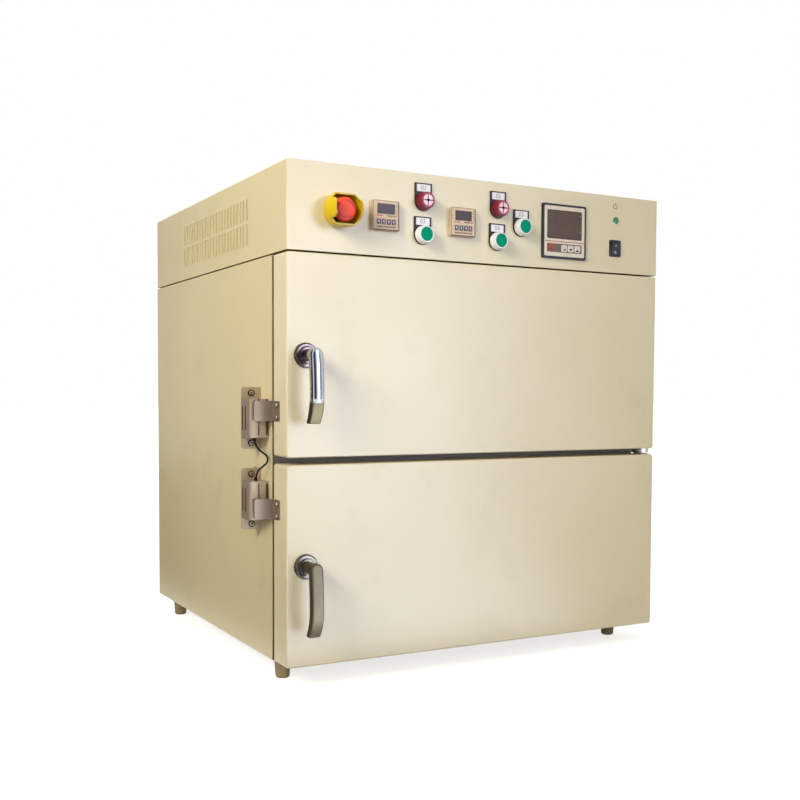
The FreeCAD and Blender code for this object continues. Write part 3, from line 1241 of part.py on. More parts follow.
def motor_posts(z_bottom):
    """Posts that carry a motor on the chamber's rear wall."""
    middle = storey_middle(z_bottom)
    posts = []
    for side_x in (-1, 1):
        for side_z in (-1, 1):
            posts.append(rod_y(MOTOR_POST_RADIUS, Y_LINER, Y_MOTOR, X_MID + side_x * MOTOR_POST_PLACE,
                               middle + side_z * MOTOR_POST_PLACE))
    return posts


def fan_motors():
    solids = []
    for _, z_bottom in STOREYS:
        middle = storey_middle(z_bottom)
        flange_back = Y_MOTOR + MOTOR_FLANGE_THICK
        half = MOTOR_FLANGE / 2
        pieces = motor_posts(z_bottom)
        pieces.append(box(X_MID - half, X_MID + half, Y_MOTOR, flange_back, middle - half, middle + half))
        pieces.append(rod_y(MOTOR_RADIUS, flange_back, flange_back + MOTOR_LENGTH, X_MID, middle))
        for index in range(MOTOR_FIN_COUNT):
            y = flange_back + MOTOR_LENGTH * (index + 1) / (MOTOR_FIN_COUNT + 1)
            pieces.append(rod_y(MOTOR_RADIUS + MOTOR_FIN, y, y + MOTOR_FIN, X_MID, middle))
        motor = fused(pieces)
        bore_end = Y_MOTOR + SHAFT_IN_MOTOR + SLIDE_CLEAR
        solids.append(motor.cut(rod_y(SHAFT_RADIUS + RUN_CLEAR, Y_MOTOR - NUDGE, bore_end, X_MID, middle)))
    keep("fan_motors", solids)


def baffles():
    """Rear air guides: pans with a fan inlet in the middle and outlet slots on both sides."""
    solids = []
    for _, z_bottom in STOREYS:
        middle = storey_middle(z_bottom)
        pan = chamber_prism(z_bottom, -BAFFLE_CLEAR, Y_BAFFLE, Y_CHAMBER)
        pan = pan.cut(chamber_prism(z_bottom, -BAFFLE_CLEAR - LINER_SHEET, Y_BAFFLE + LINER_SHEET,
                                    Y_CHAMBER + NUDGE))
        lip = rod_y(INLET_RADIUS + LINER_SHEET, Y_BAFFLE, Y_BAFFLE + INLET_LIP, X_MID, middle)
        pan = fused([pan, lip])
        cuts = [rod_y(INLET_RADIUS, Y_BAFFLE - NUDGE, Y_BAFFLE + INLET_LIP + NUDGE, X_MID, middle),
                rod_y(PROBE_RADIUS + SLIDE_CLEAR, Y_BAFFLE - NUDGE, Y_BAFFLE + LINER_SHEET + NUDGE,
                      X_PROBE, middle + PROBE_RISE)]
        for side in (-1, 1):
            for index in range(BAFFLE_SLOTS):
                x = X_MID + side * (BAFFLE_SLOT_FIRST + index * BAFFLE_SLOT_PITCH)
                cuts.append(box(x - BAFFLE_SLOT[0] / 2, x + BAFFLE_SLOT[0] / 2, Y_BAFFLE - NUDGE,
                                Y_BAFFLE + LINER_SHEET + NUDGE, middle - BAFFLE_SLOT[1] / 2 - 30,
                                middle + BAFFLE_SLOT[1] / 2 - 30))
        solids.append(pan.cut(Part.makeCompound(cuts)))
    keep("air_baffles", solids)


def heaters():
    """Ring heaters round the impellers, with two legs through the rear wall."""
    solids = []
    y = Y_CHAMBER - HEATER_BACK
    for _, z_bottom in STOREYS:
        middle = storey_middle(z_bottom)
        ring = Part.makeTorus(HEATER_RADIUS, HEATER_TUBE, Vector(X_MID, y, middle), Vector(0, 1, 0))
        pieces = [ring]
        for side in (-1, 1):
            x = X_MID + side * HEATER_LEG_SPREAD
            z = middle - HEATER_RADIUS
            pieces.append(rod_y(HEATER_TUBE, y, Y_MOTOR + HEATER_TUBE, x, z))
        solids.append(pieces[0].multiFuse(pieces[1:]))
    keep("ring_heaters", solids)


def probes():
    """Temperature probes that reach through the rear wall and the baffle."""
    solids = []
    for _, z_bottom in STOREYS:
        x = X_PROBE
        z = storey_middle(z_bottom) + PROBE_RISE
        rod = rod_y(PROBE_RADIUS, Y_BAFFLE - PROBE_FRONT, Y_MOTOR + NUDGE, x, z)
        head = rod_y(PROBE_HEAD_RADIUS, Y_MOTOR, Y_MOTOR + PROBE_HEAD, x, z)
        solids.append(rod.fuse(head))
    keep("temperature_probes", solids)


def outlets():
    """Air outlet pipes from the chambers' rear walls to the back of the cabinet."""
    solids = []
    for _, z_bottom in STOREYS:
        x = X_OUTLET
        z = storey_middle(z_bottom) + OUTLET_RISE
        pipe = rod_y(OUTLET_RADIUS, Y_CHAMBER, Y_BACK + OUTLET_REACH, x, z)
        collar = rod_y(OUTLET_COLLAR_RADIUS, Y_BACK, Y_BACK + OUTLET_COLLAR, x, z)
        bore = rod_y(OUTLET_RADIUS - OUTLET_WALL, Y_CHAMBER - NUDGE, Y_BACK + OUTLET_REACH + NUDGE, x, z)
        solids.append(pipe.fuse(collar).cut(bore))
    keep("air_outlets", solids)


# Shelves

def rails():
    """Angle rails on both side walls of each chamber."""
    solids = []
    y0 = Y_MOUTH + RAIL_FRONT
    y1 = Y_BAFFLE - RAIL_REAR
    wall = MOUTH_WIDTH / 2
    for _, z_bottom in STOREYS:
        floor = storey_middle(z_bottom) - MOUTH_HEIGHT / 2
        for level in SHELF_LEVELS:
            z = floor + level
            for side in (-1, 1):
                ledge = sorted((X_MID + side * wall, X_MID + side * (wall - RAIL_WIDTH)))
                leg = sorted((X_MID + side * wall, X_MID + side * (wall - RAIL_SHEET)))
                solids.append(fused([box(ledge[0], ledge[1], y0, y1, z - RAIL_SHEET, z),
                                     box(leg[0], leg[1], y0, y1, z - RAIL_HEIGHT, z)]))
    keep("shelf_rails", solids)


def wire_shelf(z):
    """Wire shelf that rests on the rails at height Z."""
    half = MOUTH_WIDTH / 2 - SHELF_SIDE_CLEAR - FRAME_ROD
    y0 = Y_MOUTH + SHELF_FRONT + FRAME_ROD
    y1 = Y_BAFFLE - SHELF_REAR - FRAME_ROD
    rod_level = z + FRAME_ROD
    wire_level = rod_level + FRAME_ROD + SHELF_WIRE - WIRE_SINK
    pieces = []
    for y in (y0, y1):
        pieces.append(rod_x(FRAME_ROD, X_MID - half, X_MID + half, y, rod_level))
    for side in (-1, 1):
        pieces.append(rod_y(FRAME_ROD, y0, y1, X_MID + side * half, rod_level))
        for y in (y0, y1):
            pieces.append(Part.makeSphere(FRAME_ROD, Vector(X_MID + side * half, y, rod_level)))
    for index in range(WIRE_COUNT):
        x = X_MID + half * (2 * (index + 1) / (WIRE_COUNT + 1) - 1)
        pieces.append(rod_y(SHELF_WIRE, y0 - WIRE_SINK, y1 + WIRE_SINK, x, wire_level))
    return pieces[0].multiFuse(pieces[1:])


def shelves():
    first = storey_middle(STOREYS[0][1]) - MOUTH_HEIGHT / 2 + SHELF_LEVELS[0]
    shelf = wire_shelf(first)
    solids = []
    for _, z_bottom in STOREYS:
        floor = storey_middle(z_bottom) - MOUTH_HEIGHT / 2
        for level in SHELF_LEVELS:
            copy = shelf.copy()
            copy.translate(Vector(0, 0, floor + level - first))
            solids.append(copy)
    keep("wire_shelves", solids)


# Inside and behind the hood

def control_gear():
    """Mounting rail on the hood floor with contactors, relays and a terminal block."""
    length, width, height = GEAR_RAIL
    y = Y_FRONT + GEAR_Y
    floor = Z_HOOD + SHEET
    top = floor + height
    solids = [box(X_MID - length / 2, X_MID + length / 2, y - width / 2, y + width / 2, floor, top)]
    for place, block_width, block_height in GEAR_BLOCKS:
        x = X_MID + place
        block = box(x - block_width / 2, x + block_width / 2, y - GEAR_BLOCK_DEPTH / 2,
                    y + GEAR_BLOCK_DEPTH / 2, top, top + block_height)
        step = box(x - block_width / 2 - NUDGE, x + block_width / 2 + NUDGE, y - GEAR_BLOCK_DEPTH / 2 - NUDGE,
                   y - GEAR_BLOCK_DEPTH / 4, top + block_height * 0.6, top + block_height + NUDGE)
        solids.append(block.cut(step).cut(step.mirror(Vector(0, y, 0), Vector(0, 1, 0))))
    keep("control_gear", solids)


def cable_gland():
    """Gland on the hood's rear, closed by its sealing insert."""
    x = X_MID + GLAND_AT[0]
    z = Z_HOOD + GLAND_AT[1]
    neck = rod_y(GLAND_RADIUS - CUT_CLEAR, Y_BACK - SHEET - GLAND_NECK, Y_BACK, x, z)
    corners = []
    for index in range(7):
        angle = math.radians(60 * index)
        corners.append(Vector(x + GLAND_NUT * math.cos(angle), Y_BACK, z + GLAND_NUT * math.sin(angle)))
    nut = Part.Face(Part.makePolygon(corners)).extrude(Vector(0, GLAND_PROUD * 0.4, 0))
    cap_end = Y_BACK + GLAND_PROUD
    cap = turned([(0, Y_BACK + GLAND_PROUD * 0.4), (GLAND_RADIUS, Y_BACK + GLAND_PROUD * 0.4),
                  (GLAND_RADIUS, cap_end - GLAND_RADIUS * 0.5), (GLAND_RADIUS * 0.6, cap_end),
                  (GLAND_RADIUS * 0.4, cap_end - GLAND_RADIUS * 0.3),
                  (0, cap_end - GLAND_RADIUS * 0.3)], x, z)
    keep("cable_gland", [fused([neck, nut, cap])])


def build():
    body_shell()
    front_frame()
    chambers()
    insulation()
    rear_panel()
    feet()
    hood_cover()
    hood_deck()
    control_panel()
    for name, z_bottom in STOREYS:
        door(name, z_bottom)
        handle(name, z_bottom)
        impeller(name, z_bottom)
        keeper(name, name == "lower")
    hinge_brackets()
    hinge_arms()
    locks()
    lead()
    legend_plates()
    push_buttons()
    buzzers()
    emergency_stop()
    timers()
    controller()
    pilot_light()
    rocker_switch()
    fan_motors()
    baffles()
    heaters()
    probes()
    outlets()
    rails()
    shelves()
    control_gear()
    cable_gland()


build()
os.makedirs("parts", exist_ok=True)
for node_name, node_shape in NODES.items():
    if not node_shape.isValid():
        print("not valid:", node_name)
    node_shape.exportStep(os.path.join("parts", node_name + ".step"))
print(len(NODES), "nodes")
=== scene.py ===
import math

import bmesh
import bpy
from mathutils import Matrix, Vector


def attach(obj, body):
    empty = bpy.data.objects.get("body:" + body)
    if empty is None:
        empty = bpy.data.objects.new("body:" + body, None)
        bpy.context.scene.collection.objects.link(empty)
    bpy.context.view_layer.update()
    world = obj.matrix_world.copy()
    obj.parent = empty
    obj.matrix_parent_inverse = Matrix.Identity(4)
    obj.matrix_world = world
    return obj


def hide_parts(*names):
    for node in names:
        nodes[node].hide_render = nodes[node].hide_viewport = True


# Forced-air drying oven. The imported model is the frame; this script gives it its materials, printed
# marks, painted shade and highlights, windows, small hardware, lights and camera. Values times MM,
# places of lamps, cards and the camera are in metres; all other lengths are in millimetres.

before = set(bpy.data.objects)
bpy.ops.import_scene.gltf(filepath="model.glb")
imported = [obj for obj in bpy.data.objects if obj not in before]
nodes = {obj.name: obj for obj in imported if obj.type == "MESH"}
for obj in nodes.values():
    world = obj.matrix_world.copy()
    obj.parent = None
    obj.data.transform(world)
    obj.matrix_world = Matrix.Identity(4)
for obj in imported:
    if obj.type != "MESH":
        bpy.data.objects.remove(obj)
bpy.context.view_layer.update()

MM = 0.001
X_LEFT = -375 * MM
Y_FRONT = -360 * MM
Y_BACK = 360 * MM
Z_BASE = 37 * MM
DOOR_HEIGHT = 323 * MM
Z_UPPER = Z_BASE + 334.5 * MM
Z_GAP = Z_BASE + 328.75 * MM
Z_HOOD = Z_UPPER + 325.5 * MM
MIDDLES = {"lower": Z_BASE + DOOR_HEIGHT / 2, "upper": Z_UPPER + DOOR_HEIGHT / 2}
X_HANDLE = X_LEFT + 32 * MM

FRONT = Y_FRONT / MM
SIDE = X_LEFT / MM
GAP = Z_GAP / MM
LEVER_HALF = 10.5
LEVER_BEND = 71.0
KEYPAD_FILM_Y = FRONT - 9.5
CAMERA_PLACE = (-1.0148, -1.9087, 0.4744)
CAMERA_TURNS = (28.528, -2.772, 0.249)
CAMERA_LENS = 47.97
CAMERA_SENSOR = 36.0
CAMERA_SHIFT = 0.0558


# Materials

def add_node(tree, kind, inputs=None, **values):
    """Shader node with its settings. An input takes a value, or a link from another node's output."""
    made = tree.nodes.new(kind)
    for key, value in values.items():
        setattr(made, key, value)
    for key, value in (inputs or {}).items():
        if isinstance(value, bpy.types.NodeSocket):
            tree.links.new(value, made.inputs[key])
        else:
            made.inputs[key].default_value = value
    return made


def linear(rgb):
    """Linear colour from 0 to 255 display values."""
    out = []
    for value in rgb:
        v = value / 255
        out.append(v / 12.92 if v <= 0.04045 else ((v + 0.055) / 1.055) ** 2.4)
    return out + [1.0]


class Finish:
    """A node material built up step by step."""

    def __init__(self, name, rgb, rough=0.45, metal=0.0, spec=0.5, coat=0.0):
        self.material = bpy.data.materials.new(name)
        self.material.use_nodes = True
        self.tree = self.material.node_tree
        self.shader = self.tree.nodes["Principled BSDF"]
        self.base = linear(rgb)
        self.shader.inputs["Base Color"].default_value = self.base
        self.shader.inputs["Roughness"].default_value = rough
        self.shader.inputs["Metallic"].default_value = metal
        self.shader.inputs["Specular IOR Level"].default_value = spec
        self.shader.inputs["Coat Weight"].default_value = coat
        self.shader.inputs["Coat Roughness"].default_value = 0.3
        self.material.diffuse_color = self.base
        self.coords = self.node("ShaderNodeTexCoord").outputs["Object"]
        self.normal = None
        self.colour = None

    def node(self, kind, inputs=None, **values):
        return add_node(self.tree, kind, inputs, **values)

    def link(self, a, b):
        self.tree.links.new(a, b)

    def noise(self, scale, detail=3.0, rough=0.55, stretch=None):
        """Noise value, stretched by a scale for each axis."""
        place = self.coords
        if stretch:
            place = self.node("ShaderNodeMapping", {"Scale": stretch, "Vector": place}).outputs["Vector"]
        settings = {"Scale": scale, "Detail": detail, "Roughness": rough, "Vector": place}
        return self.node("ShaderNodeTexNoise", settings).outputs["Fac"]

    def ramp(self, value, low, high, out_low=0.0, out_high=1.0):
        """Value moved from one range to another, held at its ends."""
        settings = {"Value": value, "From Min": low, "From Max": high, "To Min": out_low, "To Max": out_high}
        return self.node("ShaderNodeMapRange", settings).outputs["Result"]

    def tint(self, factor, rgb, strength=1.0):
        """Mixes a colour over what is there, by a factor from 0 to 1."""
        mix = self.node("ShaderNodeMix", data_type="RGBA")
        scaled = self.ramp(factor, 0.0, 1.0, 0.0, strength)
        self.link(scaled, mix.inputs["Factor"])
        if self.colour is None:
            mix.inputs["A"].default_value = self.base
        else:
            self.link(self.colour, mix.inputs["A"])
        mix.inputs["B"].default_value = linear(rgb)
        self.colour = mix.outputs["Result"]
        self.link(self.colour, self.shader.inputs["Base Color"])

    def along(self, axis, low, high):
        """0 to 1 between two places along one axis of the object's frame."""
        split = self.node("ShaderNodeSeparateXYZ", {"Vector": self.coords})
        return self.ramp(split.outputs[axis], low * MM, high * MM)

    def roughen(self, value, low, high):
        self.link(self.ramp(value, 0.3, 0.7, low, high), self.shader.inputs["Roughness"])

    def crown(self, half, lean, keep=1.0):
        """Normals that lean outwards across the lever, as on a slightly crowned face."""
        split = self.node("ShaderNodeSeparateXYZ", {"Vector": self.coords})
        across = self.ramp(split.outputs["X"], X_HANDLE - half * MM, X_HANDLE + half * MM, -lean, lean)
        share = self.node("ShaderNodeMath", {0: across, 1: keep}, operation="MULTIPLY")
        side = self.node("ShaderNodeCombineXYZ", {"X": share.outputs["Value"]})
        turn = self.node("ShaderNodeVectorTransform", {"Vector": side.outputs["Vector"]},
                         vector_type="VECTOR", convert_from="OBJECT", convert_to="WORLD")
        flat = self.node("ShaderNodeNewGeometry").outputs["Normal"]
        total = self.node("ShaderNodeVectorMath", {0: turn.outputs["Vector"], 1: flat}, operation="ADD")
        unit = self.node("ShaderNodeVectorMath", {0: total.outputs["Vector"]}, operation="NORMALIZE")
        self.normal = unit.outputs["Vector"]
        self.link(self.normal, self.shader.inputs["Normal"])

    def bump(self, value, height, distance=0.001):
        made = self.node("ShaderNodeBump", {"Strength": height, "Distance": distance, "Height": value})
        if self.normal is not None:
            self.link(self.normal, made.inputs["Normal"])
        self.normal = made.outputs["Normal"]
        self.link(self.normal, self.shader.inputs["Normal"])


def enamel(name, rgb, deep, rough=0.36, grime=0.10):
    """Baked enamel on sheet steel: fine orange peel, faint blotches and a little grime."""
    f = Finish(name, rgb, rough, spec=0.45, coat=0.25)
    f.tint(f.ramp(f.noise(2.2, 4.0), 0.42, 0.72), deep, 0.5)
    f.tint(f.ramp(f.noise(9.0, 5.0, 0.65), 0.56, 0.74), [v * 0.86 for v in rgb], grime * 2)
    f.tint(f.ramp(f.noise(900.0, 2.0), 0.55, 0.75), [v * 0.93 for v in rgb], 0.25)
    f.roughen(f.noise(6.0, 4.0), rough - 0.06, rough + 0.08)
    f.bump(f.noise(420.0, 2.0), 0.10, 0.0004)
    f.bump(f.noise(3.0, 2.0), 0.06, 0.004)
    return f.material


def brushed(name, rgb, rough=0.32, along=(1, 60, 60), scale=14.0, dark=0.75, metal=1.0):
    """Metal with fine parallel grain. The grain runs along the axis that has the smallest stretch."""
    f = Finish(name, rgb, rough, metal)
    grain = f.noise(scale, 6.0, 0.7, along)
    f.tint(f.ramp(grain, 0.35, 0.7), [v * dark for v in rgb], 0.55)
    f.tint(f.ramp(f.noise(5.0, 3.0), 0.5, 0.8), [min(255, v * 1.12) for v in rgb], 0.3)
    f.roughen(grain, rough - 0.07, rough + 0.12)
    f.bump(grain, 0.12, 0.0003)
    return f.material


def moulded(name, rgb, rough=0.45, grain=0.12, spec=0.45, grain_scale=1800.0, fleck=0.25):
    """Moulded plastic or rubber with a fine spark-eroded texture."""
    f = Finish(name, rgb, rough, 0.0, spec)
    f.tint(f.ramp(f.noise(30.0, 4.0), 0.4, 0.75), [v * 0.85 for v in rgb], fleck)
    f.tint(f.ramp(f.noise(160.0, 3.0), 0.62, 0.8), [min(255, v * 1.25 + 10) for v in rgb], fleck * 0.6)
    f.roughen(f.noise(60.0, 3.0), rough - 0.05, rough + 0.08)
    f.bump(f.noise(grain_scale, 2.0), grain, 0.0002)
    return f.material


def printed(name, rgb, rough=0.5):
    """Silk-screened ink with slightly uneven cover."""
    f = Finish(name, rgb, rough)
    f.tint(f.ramp(f.noise(700.0, 3.0), 0.45, 0.7), [min(255, v * 1.15 + 12) for v in rgb], 0.3)
    f.bump(f.noise(1500.0, 1.0), 0.05, 0.0001)
    return f.material


def glassy(name, rgb, rough=0.25, spec=0.16, coat=0.12):
    """Tinted acrylic window, seen as a dark sheet with a soft sheen."""
    f = Finish(name, rgb, rough, 0.0, spec, coat)
    f.tint(f.ramp(f.noise(40.0, 3.0), 0.4, 0.7), [v * 0.8 for v in rgb], 0.5)
    f.roughen(f.noise(12.0, 4.0), rough, rough + 0.08)
    return f.material


def lever_metal(name, rgb, tip_reflection, z_bend):
    """Polished lever whose lower end, below the bend, is rougher and tinted olive; the tint is a painted
    reflection.
    """
    f = Finish(name, rgb, 0.08, 1.0)
    grain = f.noise(30.0, 6.0, 0.7, (60, 60, 1))
    low = f.along("Z", z_bend, z_bend - 4.0)
    f.crown(LEVER_HALF, 0.75, f.ramp(low, 0.0, 1.0, 1.0, 0.12))
    f.tint(f.ramp(grain, 0.35, 0.7), [v * 0.92 for v in rgb], 0.5)
    # Painted reflection: the tip's olive tint stands for what its downward-leaning face mirrors.
    f.tint(low, tip_reflection, 1.0)
    f.tint(f.ramp(f.noise(18.0, 4.0, 0.6, (6, 6, 1)), 0.45, 0.75), [v * 0.8 for v in tip_reflection], 0.25)
    f.link(f.ramp(low, 0.0, 1.0, 0.08, 0.5), f.shader.inputs["Roughness"])
    f.bump(grain, 0.08, 0.0002)
    return f.material


def satin_lever(name, rgb):
    """Worn satin lever with a crowned face."""
    f = Finish(name, rgb, 0.42, 0.75)
    f.crown(LEVER_HALF, 0.14)
    grain = f.noise(16.0, 6.0, 0.7, (60, 60, 1))
    f.tint(f.ramp(grain, 0.35, 0.7), [v * 0.86 for v in rgb], 0.55)
    f.tint(f.ramp(f.noise(18.0, 4.0, 0.6, (6, 6, 1)), 0.45, 0.75), [v * 0.8 for v in rgb], 0.3)
    f.roughen(f.noise(9.0, 4.0), 0.38, 0.5)
    f.bump(grain, 0.08, 0.0002)
    return f.material


def film_keypad(name, ground, key, y_key):
    """Film keypad whose raised keys are dark on a pale ground."""
    f = Finish(name, ground, 0.5, 0.0, 0.3)
    f.tint(f.ramp(f.noise(60.0, 3.0), 0.4, 0.75), [v * 0.9 for v in ground], 0.3)
    f.tint(f.along("Y", y_key + 0.22, y_key + 0.12), key, 1.0)
    f.roughen(f.noise(60.0, 3.0), 0.45, 0.6)
    f.bump(f.noise(1400.0, 2.0), 0.08, 0.0002)
    return f.material


def lit(name, rgb, strength, rough=0.25):
    """Translucent coloured lens with a faint glow."""
    f = Finish(name, rgb, rough, 0.0, 0.5, 0.6)
    f.tint(f.ramp(f.noise(120.0, 3.0), 0.4, 0.75), [v * 0.75 for v in rgb], 0.5)
    f.shader.inputs["Emission Color"].default_value = linear(rgb)
    f.shader.inputs["Emission Strength"].default_value = strength
    return f.material


CREAM = enamel("cream_enamel", (228, 216, 180), (222, 207, 163))
CREAM_HOOD = enamel("cream_enamel_hood", (227, 215, 179), (220, 205, 162))
# Shaded copy of the cream enamel: its darker, more saturated colour is painted shade for the side, rear and
# hood panels.
CREAM_SIDE_SHADED = enamel("cream_enamel_side_shaded", (222, 208, 164), (212, 196, 150), grime=0.16)
STAINLESS = brushed("brushed_stainless", (186, 183, 176), 0.34, (60, 60, 1))
STAINLESS_X = brushed("brushed_stainless_cross", (184, 181, 174), 0.36, (1, 60, 60))
# Front frame steel; its dark brown is partly painted shade for the gap between the doors, where the frame
# shows.
FRAME_STEEL = brushed("frame_steel", (100, 88, 76), 0.5, (1, 60, 60), 14.0, 0.85, 0.6)
LOCK_STEEL = brushed("lock_steel", (180, 163, 140), 0.42, (12, 12, 6), 40.0, 0.88, 0.5)
LOCK_KEEPER = brushed("lock_keeper_steel", (146, 130, 111), 0.46, (10, 10, 10), 40.0, 0.92, 0.5)
ZINC = brushed("zinc_plated", (176, 172, 158), 0.38, (8, 8, 8), 60.0)
CHROME = brushed("polished_chrome", (214, 214, 218), 0.08, (3, 3, 3), 30.0, 0.95)
ROSE_CHROME = brushed("rose_chrome", (98, 86, 82), 0.2, (3, 3, 3), 30.0, 0.95)
ROSE_SATIN = brushed("satin_rose", (100, 95, 84), 0.24, (6, 6, 6), 20.0, 0.9)
# The tip colour below is a painted reflection.
UPPER_LEVER = lever_metal("upper_lever_chrome", (196, 199, 209), (102, 92, 66),
                          MIDDLES["upper"] / MM - LEVER_BEND)
SATIN = satin_lever("satin_lever", (97, 87, 66))
SILVER = moulded("button_bezel_satin", (236, 238, 238), 0.28, 0.05, 0.6, 1500.0, 0.4)
DOME = brushed("screw_dome", (240, 238, 230), 0.3, (6, 6, 6), 20.0, 0.95, 0.6)
MOTOR = moulded("motor_casting", (92, 96, 100), 0.5, 0.4, 0.4, 500.0)
HEATER = brushed("heater_sheath", (112, 98, 88), 0.5, (4, 4, 4), 80.0, 0.6)
BLACK = moulded("black_plastic", (15, 14, 15), 0.42, 0.12, 0.3)
BLACK_MATT = moulded("black_matt", (26, 25, 24), 0.6, 0.12, 0.25)
GREY = moulded("grey_plastic", (150, 152, 154), 0.5)
YELLOW = moulded("yellow_plastic", (212, 180, 10), 0.36, 0.08, 0.3, 1800.0, 0.15)
RED = moulded("red_plastic", (255, 90, 66), 0.45, 0.06, 0.14, 1800.0)
RED_DEEP = printed("red_relief", (176, 44, 40), 0.5)
GREEN = moulded("green_plastic", (0, 160, 126), 0.55, 0.05, 0.04, 1800.0)
BUZZER = moulded("dark_red_plastic", (118, 22, 40), 0.42, 0.1, 0.35)
BUZZER_RING = moulded("dark_pink_ring", (184, 60, 88), 0.35, 0.05, 0.35)
BUZZER_LENS = lit("buzzer_lens", (236, 200, 204), 0.05)
PILOT = lit("pilot_lens", (10, 112, 62), 0.10)
# Pale colour of the ring round the pilot lens, a painted highlight.
PILOT_HIGHLIGHT_RING = moulded("pilot_surround_highlight", (206, 212, 184), 0.4, 0.05, 0.4)
TIMER = moulded("timer_plastic", (196, 176, 154), 0.5, 0.15, 0.3)
TIMER_FACE = moulded("timer_face", (226, 203, 170), 0.5, 0.08, 0.26)
# Dark rim colour: painted shade along the timers' right and lower edges.
TIMER_RIM_SHADE = moulded("timer_rim_shade", (110, 66, 58), 0.55, 0.08, 0.3)
WINDOW = glassy("timer_window", (66, 44, 44))
WINDOW_EDGE = glassy("window_edge", (52, 38, 32))
CONTROL_WINDOW = glassy("controller_window", (92, 72, 58))
FACE_CREAM = moulded("controller_face", (232, 222, 204), 0.5, 0.08, 0.3)
KEY_STRIP = moulded("key_strip", (106, 88, 74), 0.55, 0.08, 0.3)
KEY_WHITE = moulded("key_white", (232, 224, 214), 0.5, 0.06, 0.3)
KEY_ORANGE = moulded("key_orange", (160, 68, 28), 0.45, 0.06, 0.3)
KEYPAD = film_keypad("timer_keypad_film", (202, 180, 158), (46, 38, 50), KEYPAD_FILM_Y)
LILAC = printed("key_lilac", (190, 176, 200))
INK_DARK = printed("ink_dark", (40, 34, 32))
INK_GREY = printed("ink_grey", (150, 142, 146))
INK_WHITE = printed("ink_white", (206, 204, 200))
INK_RED = printed("ink_red", (176, 60, 54))
# Dark maroon for the painted shade on the set key's lower half.
SET_KEY_SHADE = printed("set_key_painted_shade", (92, 20, 16))
INK_PINK = printed("ink_pink", (214, 176, 170))
INK_ORANGE = printed("ink_orange", (178, 92, 54))
LABEL_WHITE = printed("label_white", (240, 234, 238), 0.45)
FOOT = moulded("foot_rubber", (166, 150, 114), 0.75, 0.35, 0.25, 900.0)
GASKET = moulded("gasket_silicone", (52, 46, 42), 0.6, 0.2, 0.35, 1200.0)
LEAD = moulded("lead_jacket", (20, 19, 18), 0.5, 0.06, 0.3)
WOOL = moulded("mineral_wool", (206, 190, 140), 0.95, 1.0, 0.1, 260.0)
# Painted shade: the hood deck shows through the seam and is coloured as the seam's shadow.
HOOD_DARK = moulded("seam_shadow", (128, 114, 84), 0.8, 0.1, 0.1)
SLOT_DARK = moulded("slot_shadow", (30, 22, 14), 0.8, 0.1, 0.1)
LOCK_SHADE = moulded("lock_shade", (74, 60, 44), 0.7, 0.02, 0.2)

NODE_FINISH = {
    "body_shell": CREAM_SIDE_SHADED, "rear_panel": CREAM_SIDE_SHADED, "hood_cover": CREAM_SIDE_SHADED,
    "control_panel": CREAM_HOOD, "upper_door_shell": CREAM, "lower_door_shell": CREAM,
    "front_frame": FRAME_STEEL, "hood_deck": HOOD_DARK, "upper_chamber": STAINLESS_X,
    "lower_chamber": STAINLESS_X, "insulation": WOOL, "air_baffles": STAINLESS,
    "shelf_rails": STAINLESS, "wire_shelves": CHROME, "ring_heaters": HEATER, "fan_motors": MOTOR,
    "temperature_probes": STAINLESS, "feet": FOOT, "air_outlets": STAINLESS, "cable_gland": BLACK_MATT,
    "hinge_brackets": ZINC, "lock_plates": LOCK_STEEL, "lock_bodies": LOCK_STEEL, "lock_screws": ZINC,
    "lock_lead": LEAD, "estop_guard": YELLOW, "estop_base": BLACK, "timer_cases": TIMER,
    "timer_keypads": KEYPAD, "controller_case": BLACK, "legend_plates": BLACK, "button_bezels": SILVER,
    "alarm_buzzers": BUZZER, "pilot_light": PILOT, "rocker_frame": BLACK, "control_gear": GREY,
    "upper_door_liner": STAINLESS, "lower_door_liner": STAINLESS, "upper_door_gasket": GASKET,
    "lower_door_gasket": GASKET, "upper_handle_rose": ROSE_CHROME, "lower_handle_rose": ROSE_SATIN,
    "upper_lock_keeper": LOCK_KEEPER, "lower_lock_keeper": LOCK_KEEPER,
    "upper_door_hinge_arms": ZINC, "lower_door_hinge_arms": ZINC, "upper_handle_lever": UPPER_LEVER,
    "lower_handle_lever": SATIN, "upper_fan_wheel": ZINC, "lower_fan_wheel": ZINC, "estop_stem": ZINC,
    "estop_head": RED, "green_button_1": GREEN, "green_button_2": GREEN, "green_button_3": GREEN,
    "rocker": BLACK, "controller_key_set": KEY_ORANGE, "controller_key_left": KEY_WHITE,
    "controller_key_down": KEY_WHITE, "controller_key_up": KEY_WHITE,
}
SOFT_EDGES = {
    "body_shell": 0.4, "control_panel": 0.2, "upper_door_shell": 0.3,
    "lower_door_shell": 0.3, "rear_panel": 0.3, "lock_plates": 0.4, "lock_bodies": 0.35,
    "upper_lock_keeper": 0.35, "lower_lock_keeper": 0.35, "hinge_brackets": 0.5,
    "upper_door_hinge_arms": 0.5, "lower_door_hinge_arms": 0.5, "estop_guard": 0.7,
    "legend_plates": 0.3, "timer_cases": 0.4, "controller_case": 0.4, "rocker": 0.4,
    "rocker_frame": 0.4, "controller_key_set": 0.25, "controller_key_left": 0.25,
    "controller_key_down": 0.25, "controller_key_up": 0.25, "upper_door_liner": 0.25,
    "lower_door_liner": 0.25, "front_frame": 0.2, "air_outlets": 0.3, "button_bezels": 0.4,
    "upper_handle_rose": 0.6, "lower_handle_rose": 0.6, "alarm_buzzers": 0.2, "timer_keypads": 0.12,
}
EDGE_ANGLE = 40
SPLIT_ANGLE = 35
LOUVRE_SPLIT_ANGLE = 20
LOUVRED = ("hood_cover", "rear_panel")


def shade(obj, degrees=32):
    """Smooth shading that breaks at sharp edges."""
    obj.data.polygons.foreach_set("use_smooth", [True] * len(obj.data.polygons))
    obj.data.set_sharp_from_angle(angle=math.radians(degrees))


